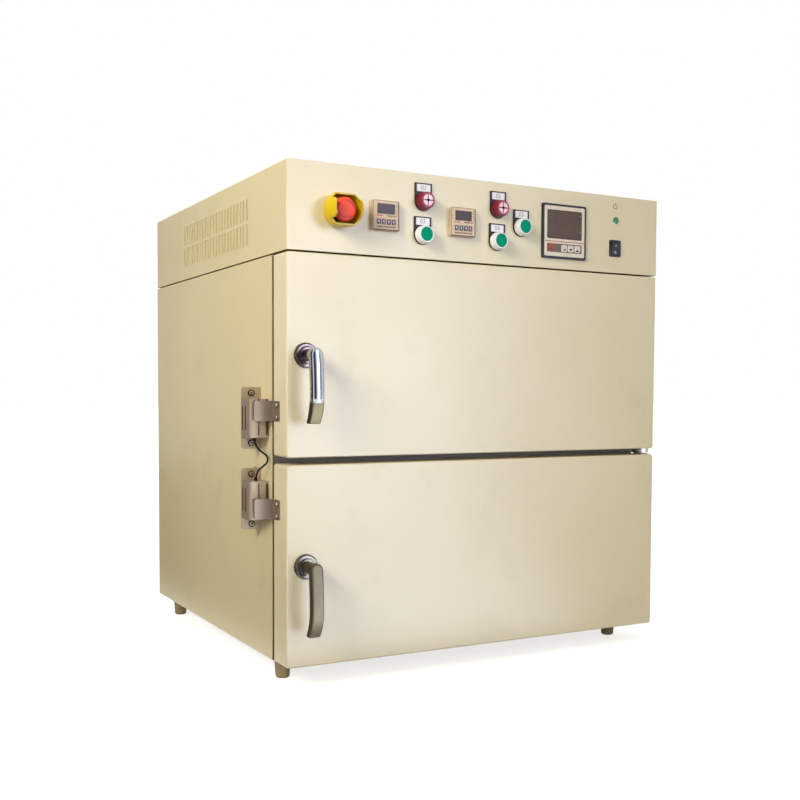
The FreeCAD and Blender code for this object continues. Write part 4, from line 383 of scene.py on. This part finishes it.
def dress_nodes():
    """Finishes, small edge rounds, and normals that follow the large faces."""
    for name, obj in nodes.items():
        obj.data.materials.clear()
        obj.data.materials.append(NODE_FINISH[name])
        obj.data.polygons.foreach_set("use_smooth", [True] * len(obj.data.polygons))
        weld = obj.modifiers.new("weld", "WELD")
        weld.merge_threshold = 1e-6
        if name in SOFT_EDGES:
            bevel = obj.modifiers.new("edge", "BEVEL")
            bevel.width = SOFT_EDGES[name] * MM
            bevel.segments = 2
            bevel.limit_method = "ANGLE"
            bevel.angle_limit = math.radians(EDGE_ANGLE)
            bevel.use_clamp_overlap = True
        split = obj.modifiers.new("split", "EDGE_SPLIT")
        split.use_edge_angle = True
        split.split_angle = math.radians(LOUVRE_SPLIT_ANGLE if name in LOUVRED else SPLIT_ANGLE)
        split.use_edge_sharp = False
        normals = obj.modifiers.new("normals", "WEIGHTED_NORMAL")
        normals.mode = "FACE_AREA"
        normals.weight = 50
        normals.keep_sharp = True


# Outlines in the front view, as lists of (x, z)

def round_box(cx, cz, w, h, r, steps=6):
    points = []
    corners = ((cx + w / 2 - r, cz + h / 2 - r, 0), (cx - w / 2 + r, cz + h / 2 - r, 90),
               (cx - w / 2 + r, cz - h / 2 + r, 180), (cx + w / 2 - r, cz - h / 2 + r, 270))
    for x, z, start in corners:
        for index in range(steps + 1):
            a = math.radians(start + 90 * index / steps)
            points.append((x + r * math.cos(a), z + r * math.sin(a)))
    return points


def ring_points(cx, cz, r, steps=48):
    return [(cx + r * math.cos(2 * math.pi * i / steps), cz + r * math.sin(2 * math.pi * i / steps))
            for i in range(steps)]


def arc_band(cx, cz, r, width, start, end, steps=24):
    """Band along an arc, with square ends. Angles are in degrees from +X, turning to +Z."""
    outer = []
    inner = []
    for index in range(steps + 1):
        a = math.radians(start + (end - start) * index / steps)
        outer.append((cx + (r + width / 2) * math.cos(a), cz + (r + width / 2) * math.sin(a)))
        inner.append((cx + (r - width / 2) * math.cos(a), cz + (r - width / 2) * math.sin(a)))
    return outer + inner[::-1]


def triangle(cx, cz, size, degrees):
    """Arrow head that points along an angle."""
    points = []
    for turn, reach in ((0, 0.62), (125, 0.55), (235, 0.55)):
        a = math.radians(degrees + turn)
        points.append((cx + size * reach * math.cos(a), cz + size * reach * math.sin(a)))
    return points


# Pieces made from outlines and profiles

def finish_piece(obj, name, material, body, smooth=32):
    obj.name = name
    obj.data.name = name
    obj.data.materials.clear()
    obj.data.materials.append(material)
    shade(obj, smooth)
    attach(obj, body)
    return obj


def curve_piece(curve, place, name, material, body):
    """Mesh piece made from a flat curve or a text, moved to its place."""
    source = bpy.data.objects.new(name + "_line", curve)
    bpy.context.scene.collection.objects.link(source)
    bpy.context.view_layer.update()
    mesh = bpy.data.meshes.new_from_object(source.evaluated_get(bpy.context.evaluated_depsgraph_get()))
    bpy.data.objects.remove(source)
    mesh.transform(place)
    obj = bpy.data.objects.new(name, mesh)
    bpy.context.scene.collection.objects.link(obj)
    return finish_piece(obj, name, material, body)


FACES = {
    "front": Matrix(((1, 0, 0, 0), (0, 0, -1, 0), (0, 1, 0, 0), (0, 0, 0, 1))),
    "left": Matrix(((0, 0, -1, 0), (-1, 0, 0, 0), (0, 1, 0, 0), (0, 0, 0, 1))),
    "rear": Matrix(((-1, 0, 0, 0), (0, 0, 1, 0), (0, 1, 0, 0), (0, 0, 0, 1))),
}


def plates(name, groups, outside, thick, material, body, bevel=0.0, face="front"):
    """Flat plates in a front, left or rear view. Each group is one plate: its outline, then its holes.
    A left or rear view counts its first value towards -Y or -X. Outside is the place of the plates'
    outer face along the axis that they look along."""
    curve = bpy.data.curves.new(name, "CURVE")
    curve.dimensions = "2D"
    curve.fill_mode = "BOTH"
    curve.extrude = max((thick / 2 - bevel) * MM, 1e-6)
    curve.bevel_depth = bevel * MM
    curve.bevel_resolution = 1
    for group in groups:
        for outline in group:
            spline = curve.splines.new("POLY")
            spline.points.add(len(outline) - 1)
            for point, (x, z) in zip(spline.points, outline):
                point.co = (x * MM, z * MM, 0, 1)
            spline.use_cyclic_u = True
    turn = FACES[face]
    outward = turn.to_3x3() @ Vector((0, 0, 1))
    inset = outside * MM * (1 if face == "rear" else -1) - thick / 2 * MM
    return curve_piece(curve, Matrix.Translation(outward * inset) @ turn, name, material, body)


def lathe(name, profile, centre, axis, material, body, steps=48, smooth=40):
    """Turned piece. The profile is (radius, distance along the axis), from one end to the other; the
    centre is in metres."""
    bm = bmesh.new()
    rings = []
    for radius, along in profile:
        if radius < 1e-6:
            rings.append([bm.verts.new((0, 0, along * MM))])
            continue
        rings.append([bm.verts.new((radius * MM * math.cos(2 * math.pi * i / steps),
                                    radius * MM * math.sin(2 * math.pi * i / steps), along * MM))
                      for i in range(steps)])
    for a, b in zip(rings, rings[1:]):
        for i in range(steps):
            j = (i + 1) % steps
            if len(a) == 1:
                bm.faces.new((a[0], b[j], b[i]))
            elif len(b) == 1:
                bm.faces.new((a[i], a[j], b[0]))
            else:
                bm.faces.new((a[i], a[j], b[j], b[i]))
    if len(rings[0]) > 1 and len(rings[-1]) > 1 and profile[0] == profile[-1]:
        bmesh.ops.remove_doubles(bm, verts=bm.verts, dist=1e-7)
    bmesh.ops.recalc_face_normals(bm, faces=bm.faces)
    mesh = bpy.data.meshes.new(name)
    bm.to_mesh(mesh)
    bm.free()
    turn = Vector((0, 0, 1)).rotation_difference(Vector(axis)).to_matrix().to_4x4()
    mesh.transform(Matrix.Translation(Vector(centre)) @ turn)
    obj = bpy.data.objects.new(name, mesh)
    bpy.context.scene.collection.objects.link(obj)
    return finish_piece(obj, name, material, body, smooth)


def panel(x, z):
    """X and Z of a place on the control panel, given from its lower left corner."""
    return SIDE + x, Z_HOOD / MM + z


# Printed marks and windows on the control panel

TIMERS = ((170.0, 64.0), (317.0, 65.0))
BUZZERS = ((243.0, 94.0), (391.0, 94.0))
BUTTONS = ((242.0, 39.0), (389.4, 39.0), (439.4, 66.6))
CONTROLLER = (532.0, 65.7)
ESTOP = (87.0, 64.5)
ROCKER = (649.7, 44.6)
POWER_SYMBOL = (650.0, 121.5)
PILOT_LIGHT = (651.0, 95.8)
TIMER_FACE_Y = FRONT - 9
CONTROLLER_FACE_Y = FRONT - 4
CONTROLLER_KEY_Y = CONTROLLER_FACE_Y - 0.6
BUZZER_FACE_Y = FRONT - 19
ESTOP_MARK_Y = FRONT - 34.06
ESTOP_MARK_RADIUS = 13.0
CONTROLLER_KEYS = {"set": -30.2, "left": -0.8, "down": 13.9, "up": 28.6}
CONTROLLER_KEY_ROW = -29.4
SET_KEY_SIZE = (13.2, 11.6)
ARROW_KEY_SIZE = (12.6, 11.8)
ARROW_ANGLES = {"left": 180, "down": 270, "up": 90}
LABEL_Y = FRONT - 2.7
LABEL_RISE = 22
NUMERAL_SIZE = 10.5


def sector(cx, cz, r, gap, quadrant, steps=12):
    """Quarter of a disc, kept half a gap away from the cross between the quarters."""
    inner = gap / 2
    first = math.asin(inner / r)
    points = [(inner, inner)]
    for index in range(steps + 1):
        a = first + (math.pi / 2 - 2 * first) * index / steps
        points.append((r * math.cos(a), r * math.sin(a)))
    turn = math.pi / 2 * quadrant
    return [(cx + u * math.cos(turn) - v * math.sin(turn), cz + u * math.sin(turn) + v * math.cos(turn))
            for u, v in points]


def dashes(x0, x1, z, height, lengths, gap=0.6):
    """Row of short bars between two places, as generic print."""
    row = []
    x = x0
    index = 0
    while x < x1 - 0.4:
        length = min(lengths[index % len(lengths)], x1 - x)
        row.append([round_box(x + length / 2, z, length, height, height * 0.2, 2)])
        x += length + gap
        index += 1
    return row


def arrow_head(cx, cz, w, h, degrees):
    """Flat triangle of a given width and height that points along an angle in steps of 90."""
    a = math.radians(degrees)
    points = []
    for u, v in ((0.5, 0.0), (-0.5, 0.5), (-0.5, -0.5)):
        x = u * math.cos(a) - v * math.sin(a)
        z = u * math.sin(a) + v * math.cos(a)
        points.append((cx + x * w, cz + z * h))
    return points


def timer_faces():
    windows, edges, marks, reds, lilacs, faces, rim_shades = [], [], [], [], [], [], []
    y = TIMER_FACE_Y
    for at in TIMERS:
        x, z = panel(*at)
        # Face and dark rim are set 0.6 up and to the left, so the rim shows wider on the right and below:
        # painted shade.
        faces.append([round_box(x - 0.6, z + 0.6, 45.0, 45.0, 1.4), round_box(x, z + 10.5, 32.7, 16.7, 1.0),
                      round_box(x, z - 10.4, 35.7, 10.2, 1.0)])
        rim_shades.append([round_box(x, z, 47.4, 47.4, 1.8), round_box(x - 0.6, z + 0.6, 45.2, 45.2, 1.4)])
        edges.append([round_box(x, z + 10.5, 32.3, 16.3, 0.9)])
        windows.append([round_box(x, z + 10.5, 29.4, 13.6, 0.6)])
        for index in range(4):
            key_x = x - 13.5 + 9 * index
            lilacs.append([round_box(key_x, z - 9.6, 3.4, 3.2, 0.8)])
            lilacs.append([round_box(key_x + 0.6, z - 12.6, 2.6, 1.0, 0.4)])
        reds += dashes(x - 17, x - 6, z - 0.4, 2.1, (2.6, 1.4, 2.0))
        marks += dashes(x + 1.5, x + 13, z - 0.4, 2.1, (1.8, 2.6, 1.2))
        marks += dashes(x + 14.5, x + 18, z - 0.4, 2.1, (1.2, 1.6))
        marks += dashes(x - 17.5, x + 18, z - 18.4, 2.3, (2.2, 1.4, 2.8, 1.8, 1.2))
        for index in range(5):
            marks.append([round_box(x + 19.6, z + 2.2 + 4.1 * index, 1.2, 2.2, 0.3, 2)])
    plates("timer_face_plates", faces, y - 0.25, 0.25, TIMER_FACE, "cabinet", 0.05)
    plates("timer_rim_shades", rim_shades, y - 0.2, 0.2, TIMER_RIM_SHADE, "cabinet", 0.04)
    plates("timer_window_edges", edges, y - 0.02, 0.6, WINDOW_EDGE, "cabinet", 0.1)
    plates("timer_windows", windows, y - 0.12, 0.3, WINDOW, "cabinet", 0.08)
    plates("timer_key_dots", lilacs, y - 0.62, 0.16, LILAC, "cabinet", 0.04)
    plates("timer_marks", marks, y - 0.33, 0.1, INK_DARK, "cabinet")
    plates("timer_red_marks", reds, y - 0.33, 0.1, INK_RED, "cabinet")


def controller_face():
    x, z = panel(*CONTROLLER)
    y = CONTROLLER_FACE_Y
    row = z + CONTROLLER_KEY_ROW
    window = round_box(x, z + 12, 76.7, 50.7, 2.4)
    strip = round_box(x, row, 76.7, 15.4, 1.6)
    holes = []
    for name, at in CONTROLLER_KEYS.items():
        w, h = SET_KEY_SIZE if name == "set" else ARROW_KEY_SIZE
        holes.append(round_box(x + at, row, w + 0.7, h + 0.7, 2.7))
    plates("controller_face_plate", [[round_box(x, z, 88.2, 88.2, 2.4), window, strip]], y - 0.3, 0.3,
           FACE_CREAM, "cabinet", 0.08)
    plates("controller_key_strip", [[round_box(x, row, 76.3, 15.0, 1.5)] + holes], y - 0.22, 0.22,
           KEY_STRIP, "cabinet", 0.05)
    plates("controller_window_edge", [[round_box(x, z + 12, 76.2, 50.2, 2.3)]], y - 0.04, 0.7,
           WINDOW_EDGE, "cabinet", 0.12)
    plates("controller_window_glass", [[round_box(x, z + 12, 73.4, 47.4, 1.6)]], y - 0.2, 0.4,
           CONTROL_WINDOW, "cabinet", 0.12)
    plates("controller_rule", [[round_box(x, z - 18.1, 87.0, 1.5, 0.3)]], y - 0.37, 0.08,
           INK_ORANGE, "cabinet")
    ticks = [[round_box(x + 35.4, z + 12 + at, 2.6, 1.2, 0.3, 2)] for at in (18.0, -10.0)]
    plates("controller_window_ticks", ticks, y - 0.24, 0.05, INK_GREY, "cabinet")


def controller_key_marks():
    """A dark oval of painted shade on the set key's lower half; an arrow and two small rings on each of the
    others.
    """
    x, z = panel(*CONTROLLER)
    row = z + CONTROLLER_KEY_ROW
    y = CONTROLLER_KEY_Y
    # Painted shade: a dark oval on the lower half of the set key.
    plates("set_key_shade_mark", [[round_box(x + CONTROLLER_KEYS["set"], row - 2.2, 8.0, 4.2, 1.9)]], y - 0.05,
           0.09, SET_KEY_SHADE, "set_key")
    for name, degrees in ARROW_ANGLES.items():
        key_x = x + CONTROLLER_KEYS[name]
        size = (5.6, 5.0) if name == "left" else (8.4, 4.8)
        plates(name + "_key_mark", [[arrow_head(key_x, row - 2.4, *size, degrees)]], y - 0.05, 0.09,
               INK_DARK, name + "_key")
        prints = [[round_box(key_x + side * 2.6, row + 3.0, 3.6, 2.6, 1.2),
                   round_box(key_x + side * 2.6, row + 3.0, 2.0, 1.2, 0.5)] for side in (-1, 1)]
        plates(name + "_key_print", prints, y - 0.04, 0.07, INK_PINK, name + "_key")


def numeral(name, text, size, x, z, y_front, thick, material, body):
    """A plain number, centred at x and z."""
    curve = bpy.data.curves.new(name, "FONT")
    curve.body = text
    curve.size = size * MM
    curve.extrude = thick / 2 * MM
    curve.align_x = "CENTER"
    curve.align_y = "CENTER"
    place = Matrix.Translation((x * MM, (y_front + thick / 2) * MM, z * MM))
    return curve_piece(curve, place @ Matrix.Rotation(math.pi / 2, 4, "X"), name, material, body)


def legend_labels():
    labels = []
    for index, at in enumerate(BUZZERS + BUTTONS):
        x, z = panel(*at)
        labels.append([round_box(x, z + LABEL_RISE, 25.6, 11.6, 0.6)])
        numeral("legend_number_%d" % (index + 1), "%02d" % (index + 1), NUMERAL_SIZE, x, z + LABEL_RISE,
                LABEL_Y - 0.08, 0.1, INK_GREY, "cabinet")
    plates("legend_labels", labels, LABEL_Y, 0.5, LABEL_WHITE, "cabinet", 0.1)


def buzzer_fronts():
    rings, lenses, hubs = [], [], []
    y = BUZZER_FACE_Y
    for at in BUZZERS:
        x, z = panel(*at)
        rings.append([ring_points(x, z, 11.2), ring_points(x, z, 9.5)])
        for quadrant in range(4):
            lenses.append([sector(x, z, 9.0, 2.6, quadrant)])
        hubs.append([ring_points(x, z, 2.3, 24)])
    plates("buzzer_rings", rings, y - 0.5, 0.5, BUZZER_RING, "cabinet", 0.2)
    plates("buzzer_lenses", lenses, y + 0.3, 1.6, BUZZER_LENS, "cabinet", 0.3)
    plates("buzzer_hubs", hubs, y + 0.2, 1.2, SLOT_DARK, "cabinet", 0.3)


def estop_marks():
    """Two small curved arrows in relief on the emergency stop's head."""
    x, z = panel(*ESTOP)
    heads = []
    for degrees in (75, 255):
        a = math.radians(degrees)
        place = (x + ESTOP_MARK_RADIUS * math.cos(a), z + ESTOP_MARK_RADIUS * math.sin(a))
        heads.append([triangle(*place, 3.6, degrees + 90)])
        heads.append([arc_band(x, z, ESTOP_MARK_RADIUS, 0.9, degrees - 70, degrees - 8)])
    plates("estop_arrows", heads, ESTOP_MARK_Y, 0.5, RED_DEEP, "estop_knob", 0.05)


def rocker_marks():
    """The on and off marks, each laid on its half of the rocker's folded face. The fold's corners are
    given by radius and angle about the rocker's axis."""
    x, z = panel(*ROCKER)
    on_rise = 4.6
    off_rise = -7.4
    marks = (("rocker_mark_on", on_rise, [round_box(x, z + on_rise, 1.1, 4.2, 0.3, 2)]),
             ("rocker_mark_off", off_rise, [ring_points(x, z + off_rise, 2.3, 32),
                                            ring_points(x, z + off_rise, 1.4, 32)]))
    fold = [(12.1, 27.0), (3.0, 100.0), (12.1, 173.0)]
    corners = [(-r * math.sin(math.radians(a)), r * math.cos(math.radians(a))) for r, a in fold]
    for (name, rise, mark), first, second in zip(marks, corners, corners[1:]):
        obj = plates(name, [mark], 0, 0.14, INK_WHITE, "power_rocker")
        slope = math.atan2(first[0] - second[0], first[1] - second[1])
        share = (rise - second[1]) / (first[1] - second[1])
        face_y = second[0] + share * (first[0] - second[0])
        place = Vector((x * MM, 0, (z + rise) * MM))
        obj.data.transform(Matrix.Translation(place + Vector((0, (FRONT + face_y - 0.1) * MM, 0))) @
                           Matrix.Rotation(-slope, 4, "X") @ Matrix.Translation(-place))


def power_symbol():
    x, z = panel(*POWER_SYMBOL)
    ring = arc_band(x, z, 4.4, 1.0, 124, 416, 40)
    bar = round_box(x, z + 3.6, 1.0, 5.2, 0.3, 2)
    plates("power_symbol", [[ring], [bar]], FRONT - 0.06, 0.08, INK_DARK, "cabinet")


def pilot_ring():
    x, z = panel(*PILOT_LIGHT)
    # Raised ring round the pilot lens; its pale colour is a painted highlight.
    lathe("pilot_ring", [(6.35, 0.0), (7.3, 0.0), (7.2, 0.5), (6.7, 0.8), (6.35, 0.6), (6.35, 0.0)],
          (x * MM, Y_FRONT, z * MM), (0, -1, 0), PILOT_HIGHLIGHT_RING, "cabinet")


# Locks and their lead

def cross(u, v, size, width):
    """Two crossed bars, as one outline."""
    a = size / 2
    b = width / 2
    return [(u + b, v + a), (u - b, v + a), (u - b, v + b), (u - a, v + b), (u - a, v - b), (u - b, v - b),
            (u - b, v - a), (u + b, v - a), (u + b, v - b), (u + a, v - b), (u + a, v + b), (u + b, v + b)]


LOCK_X = SIDE - 34.0
LOCK_FRONT = FRONT + 110.0
LOCK_FACE = LOCK_FRONT - 37.0
SLOT_PLACES = (FRONT + 105.0, FRONT + 92.0)
SLOT_RISE = 66.75
GROOVE_LENGTH = 58.3
GROOVE_LOWS = {1: 39.5, -1: -98.0}
EDGE_RISE = 80.0
SCREW_X = SIDE - 17.0
SCREW_RISES = (25.75, 107.75)
KEEPER_Y = FRONT + 32.0
KEEPER_LOW = 62.7
KEEPER_HEIGHT = 32.5
KEEPER_SCREW_SHARES = (0.2, 0.8)
DOME_OUT = 3.9
SHADOW_OUT = 3.94
DOME_PROFILE = ((0, 1.3), (1.2, 1.2), (2.3, 0.8), (2.9, 0), (0, 0))


def lock_details():
    """Painted shade on the two locks: dark sheets in the slots and grooves, dark strips along edges, dark
    crosses in the screws' recesses and dark shadow rings round the screw heads.
    """
    slots, grooves, edges, recesses, shadow_rings = [], [], [], [], []
    for side in (-1, 1):
        middle = GAP + side * SLOT_RISE
        groove_z = GAP + GROOVE_LOWS[side] + 29.25
        for y in SLOT_PLACES:
            slots.append([round_box(-y, middle, 4.3, 38.8, 0.3, 2)])
        grooves.append([round_box(LOCK_X + 16.0, groove_z, 1.9, GROOVE_LENGTH, 0.2, 2)])
        edges.append([round_box(SIDE - 4.2, groove_z, 3.6, GROOVE_LENGTH, 0.2, 2)])
        edges.append([round_box(LOCK_X + 8.2, GAP + side * EDGE_RISE, 2.4, 32.0, 0.2, 2)])
        for rise in SCREW_RISES:
            z = GAP + side * rise
            recesses.append([cross(SCREW_X, z, 4.6, 1.0)])
            # Painted shadow ring round each screw head.
            shadow_rings.append([ring_points(SCREW_X, z, 5.6, 32), ring_points(SCREW_X, z, 4.35, 32)])
    # Painted shade: dark sheets and strips in the slots, grooves and along edges, dark crosses in the screw
    # recesses.
    plates("lock_slot_shadows", slots, LOCK_X + 0.3, 1.0, SLOT_DARK, "cabinet", 0.0, "left")
    plates("lock_groove_shadows", grooves, LOCK_FACE + 0.4, 1.0, SLOT_DARK, "cabinet")
    plates("lock_edge_shadows", edges, LOCK_FACE - 0.03, 0.1, LOCK_SHADE, "cabinet")
    plates("lock_screw_recesses", recesses, LOCK_FRONT - 2.46, 0.12, SLOT_DARK, "cabinet", 0.02)
    plates("lock_screw_shadow_rings", shadow_rings, LOCK_FRONT - 0.5, 0.5, SLOT_DARK, "cabinet", 0.1)
    keeper_screws("upper", 1)
    keeper_screws("lower", -1)


def keeper_screws(name, side):
    """Domed heads on a door's keeper, each with a painted shadow under it."""
    marks = []
    for index, share in enumerate(KEEPER_SCREW_SHARES):
        z = GAP + side * (KEEPER_LOW + KEEPER_HEIGHT * share)
        # Painted shadow: a dark disc set 0.5 below each dome.
        marks.append([ring_points(-KEEPER_Y, z - 0.5, 3.9, 32)])
        lathe("%s_keeper_dome_%d" % (name, index + 1), DOME_PROFILE,
              (X_LEFT - DOME_OUT * MM, KEEPER_Y * MM, z * MM), (-1, 0, 0), DOME, name + "_door", 32)
    plates(name + "_keeper_screw_shadows", marks, SIDE - SHADOW_OUT, 0.1, SLOT_DARK, name + "_door",
           0.0, "left")


def lead_cord():
    """Lead between the two locks, from the upper housing down to the lower one."""
    half = 35.5
    route = ((-19.0, 90.0, half), (-18.4, 89.0, 22.6), (-12.6, 78.0, 12.6), (-6.0, 66.0, 6.4),
             (-5.6, 65.4, -4.6), (-12.2, 77.0, -13.2), (-16.6, 88.6, -22.2), (-17.0, 90.0, -half))
    points = [Vector((X_LEFT + x * MM, Y_FRONT + y * MM, Z_GAP + z * MM)) for x, y, z in route]
    curve = bpy.data.curves.new("lock_lead_line", "CURVE")
    curve.dimensions = "3D"
    curve.bevel_depth = 1.5 * MM
    curve.bevel_resolution = 5
    curve.use_fill_caps = True
    curve.resolution_u = 16
    spline = curve.splines.new("NURBS")
    spline.points.add(len(points) - 1)
    for target, point in zip(spline.points, points):
        target.co = (*point, 1)
    spline.order_u = 3
    spline.use_endpoint_u = True
    obj = bpy.data.objects.new("lock_lead_cord", curve)
    bpy.context.scene.collection.objects.link(obj)
    curve.materials.append(LEAD)
    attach(obj, "cabinet")
    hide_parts("lock_lead")
    sleeve = ((1.55, 0), (3.4, 0), (3.4, 1.2), (2.7, 1.8), (2.4, 5.5), (2.1, 6.0), (1.55, 6.0), (1.55, 0))
    lathe("lead_grommet_upper", sleeve, points[0], (0, 0, -1), BLACK, "cabinet", 32)
    lathe("lead_grommet_lower", sleeve, points[-1], (0, 0, 1), BLACK, "cabinet", 32)


SCREW_ROWS = ((60.0, (-360.0, 360.0)), (365.0, (-360.0, 360.0)), (671.0, (-360.0, 360.0)))
HOOD_SCREWS = (-355.0, -120.0, 120.0, 355.0)
PAN_HEAD = ((0, 1.9), (1.8, 1.8), (3.0, 1.3), (3.8, 0.4), (3.8, 0.0), (0, 0.0))


def rear_screws():
    """Pan heads along the edges of the rear cover and of the hood's rear."""
    places = [(x, z) for z, row in SCREW_ROWS for x in row]
    places += [(x, z) for x in (-120.0, 120.0) for z in (50.0, 682.0)]
    places += [(x, 715.0) for x in HOOD_SCREWS]
    for index, (x, z) in enumerate(places):
        lathe("rear_screw_%02d" % (index + 1), PAN_HEAD, (x * MM, Y_BACK, z * MM), (0, 1, 0), ZINC,
              "cabinet", 24)
    # Dark crosses: painted shade in the heads' cross recesses.
    marks = [[cross(-x, z, 3.8, 0.8)] for x, z in places]
    plates("rear_screw_recesses", marks, Y_BACK / MM + 1.95, 0.15, SLOT_DARK, "cabinet", 0.0, "rear")


# Stage, lights and camera

FLOOR_GREY = (0.80, 0.80, 0.79, 1)
FLOOR_BOUNCE = (0.34, 0.31, 0.26, 1)
WHITE = (1, 1, 1, 1)
AMBIENT = (1.0, 0.955, 0.87, 1)
AMBIENT_STRENGTH = 0.33
GLOW_NEAR = 1.0
GLOW_FAR = 2.4
GLOW_LOW = 0.70


def cleared_tree(owner):
    owner.use_nodes = True
    owner.node_tree.nodes.clear()
    return owner.node_tree


def seen_share(tree, path, *kinds):
    """1 for rays of the named kinds, else 0."""
    share = path.outputs[kinds[0]]
    for kind in kinds[1:]:
        made = add_node(tree, "ShaderNodeMath", {0: share, 1: path.outputs[kind]}, operation="MAXIMUM")
        share = made.outputs[0]
    return share


def world_light():
    """Warm ambient light; what the camera, glossy and transmission rays see is white."""
    world = bpy.data.worlds.new("studio")
    bpy.context.scene.world = world
    tree = cleared_tree(world)
    path = add_node(tree, "ShaderNodeLightPath")
    ambient = add_node(tree, "ShaderNodeBackground", {"Color": AMBIENT, "Strength": AMBIENT_STRENGTH})
    white = add_node(tree, "ShaderNodeBackground", {"Color": WHITE, "Strength": 1.0})
    share = seen_share(tree, path, "Is Camera Ray", "Is Glossy Ray", "Is Transmission Ray")
    mix = add_node(tree, "ShaderNodeMixShader", {"Fac": share, 1: ambient.outputs[0], 2: white.outputs[0]})
    add_node(tree, "ShaderNodeOutputWorld", {"Surface": mix.outputs[0]})


def floor():
    """White floor whose glow grows with its distance from the part, so that it meets the backdrop."""
    bpy.ops.mesh.primitive_plane_add(size=60, location=(0, 0, 0))
    plane = bpy.context.object
    plane.name = "floor"
    material = bpy.data.materials.new("floor_white")
    tree = cleared_tree(material)
    path = add_node(tree, "ShaderNodeLightPath")
    place = add_node(tree, "ShaderNodeNewGeometry")
    span = add_node(tree, "ShaderNodeVectorMath", operation="LENGTH")
    tree.links.new(place.outputs["Position"], span.inputs[0])
    away = add_node(tree, "ShaderNodeMapRange", {"Value": span.outputs["Value"], "From Min": GLOW_NEAR,
                                                 "From Max": GLOW_FAR, "To Min": GLOW_LOW, "To Max": 1.0})
    seen = seen_share(tree, path, "Is Camera Ray", "Is Glossy Ray")
    share = add_node(tree, "ShaderNodeMath", {0: seen, 1: away.outputs["Result"]}, operation="MULTIPLY")
    tint = add_node(tree, "ShaderNodeMix", data_type="RGBA")
    tint.inputs[6].default_value = FLOOR_GREY
    tint.inputs[7].default_value = FLOOR_BOUNCE
    tree.links.new(path.outputs["Is Diffuse Ray"], tint.inputs["Factor"])
    diffuse = add_node(tree, "ShaderNodeBsdfDiffuse", {"Color": tint.outputs[2]})
    glow = add_node(tree, "ShaderNodeEmission", {"Color": WHITE, "Strength": share.outputs[0]})
    total = add_node(tree, "ShaderNodeAddShader", {0: diffuse.outputs[0], 1: glow.outputs[0]})
    add_node(tree, "ShaderNodeOutputMaterial", {"Surface": total.outputs[0]})
    plane.data.materials.append(material)


def card(name, centre, across, up, shade_of_grey):
    """Card beside the camera that only reflections see, as in a photo studio."""
    bpy.ops.mesh.primitive_plane_add(size=1, location=(0, 0, 0))
    obj = bpy.context.object
    obj.name = name
    for vertex in obj.data.vertices:
        u, v = vertex.co.x, vertex.co.y
        vertex.co = Vector(centre) + Vector(across) * u + Vector(up) * v
    material = bpy.data.materials.new(name)
    tree = cleared_tree(material)
    glow = add_node(tree, "ShaderNodeEmission", {"Color": (*shade_of_grey, 1)})
    add_node(tree, "ShaderNodeOutputMaterial", {"Surface": glow.outputs[0]})
    obj.data.materials.append(material)
    for ray in ("camera", "diffuse", "transmission", "volume_scatter", "shadow"):
        setattr(obj, "visible_" + ray, False)


def area_light(name, location, target, size, power, colour=(1, 1, 1), spread=180):
    data = bpy.data.lights.new(name, "AREA")
    data.spread = math.radians(spread)
    data.shape = "RECTANGLE"
    data.size = size[0]
    data.size_y = size[1]
    data.energy = power
    data.color = colour
    obj = bpy.data.objects.new(name, data)
    obj.location = location
    obj.rotation_euler = (Vector(target) - Vector(location)).to_track_quat("-Z", "Y").to_euler()
    obj.visible_glossy = False
    bpy.context.scene.collection.objects.link(obj)
    return obj


def camera():
    data = bpy.data.cameras.new("photo_camera")
    data.lens = CAMERA_LENS
    data.sensor_width = CAMERA_SENSOR
    data.shift_y = CAMERA_SHIFT
    data.clip_end = 100
    obj = bpy.data.objects.new("photo_camera", data)
    bpy.context.scene.collection.objects.link(obj)
    yaw, pitch, roll = (math.radians(v) for v in CAMERA_TURNS)
    obj.location = CAMERA_PLACE
    turn = (Matrix.Rotation(-yaw, 4, "Z") @ Matrix.Rotation(math.pi / 2 + pitch, 4, "X") @
            Matrix.Rotation(roll, 4, "Z"))
    obj.rotation_euler = turn.to_euler()
    bpy.context.scene.camera = obj


dress_nodes()
timer_faces()
controller_face()
controller_key_marks()
legend_labels()
buzzer_fronts()
estop_marks()
rocker_marks()
power_symbol()
pilot_ring()
lock_details()
lead_cord()
rear_screws()
world_light()
floor()
area_light("key", (1.0, -3.3, 1.4), (-0.2, -0.36, 0.4), (1.6, 1.6), 17.5, (0.97, 0.985, 1.0))
area_light("left", (-2.3, -2.3, 1.0), (-0.3, -0.2, 0.4), (1.2, 1.2), 19, (1.0, 0.985, 0.95))
area_light("side", (-2.3, -1.3, 1.7), (-0.375, -0.2, 0.8), (0.9, 0.9), 5.0, (1.0, 0.96, 0.87), 50)
area_light("top", (0.2, 0.4, 3.0), (0, 0, 0.8), (2.4, 2.4), 20)
card("dark_card", (-1.7, 2.3, 0.85), (0, 5.2, 0), (0, 0, 1.7), (0.06, 0.06, 0.08))
card("dark_left", (-2.2, -3.5, 0.85), (3.0, 0, 0), (0, 0, 1.7), (0.05, 0.06, 0.10))
card("dark_floor", (-1.95, 2.2, 0.012), (3.0, 0, 0), (0, 6.0, 0), (0.09, 0.08, 0.07))
card("glare_card", (1.15, -3.4, 0.8), (1.4, 0, 0), (0, 0, 1.7), (7.4, 8.3, 11.0))
card("glare_floor", (0.5, -1.95, 0.012), (0.9, 0, 0), (1.3, -2.9, 0), (5.0, 5.6, 7.4))
card("grey_card", (3.5, -3.2, 0.8), (2.6, 0, 0), (0, 0, 1.9), (0.42, 0.43, 0.46))
camera()

scene = bpy.context.scene
scene.view_settings.view_transform = "Standard"
bpy.context.view_layer.update()
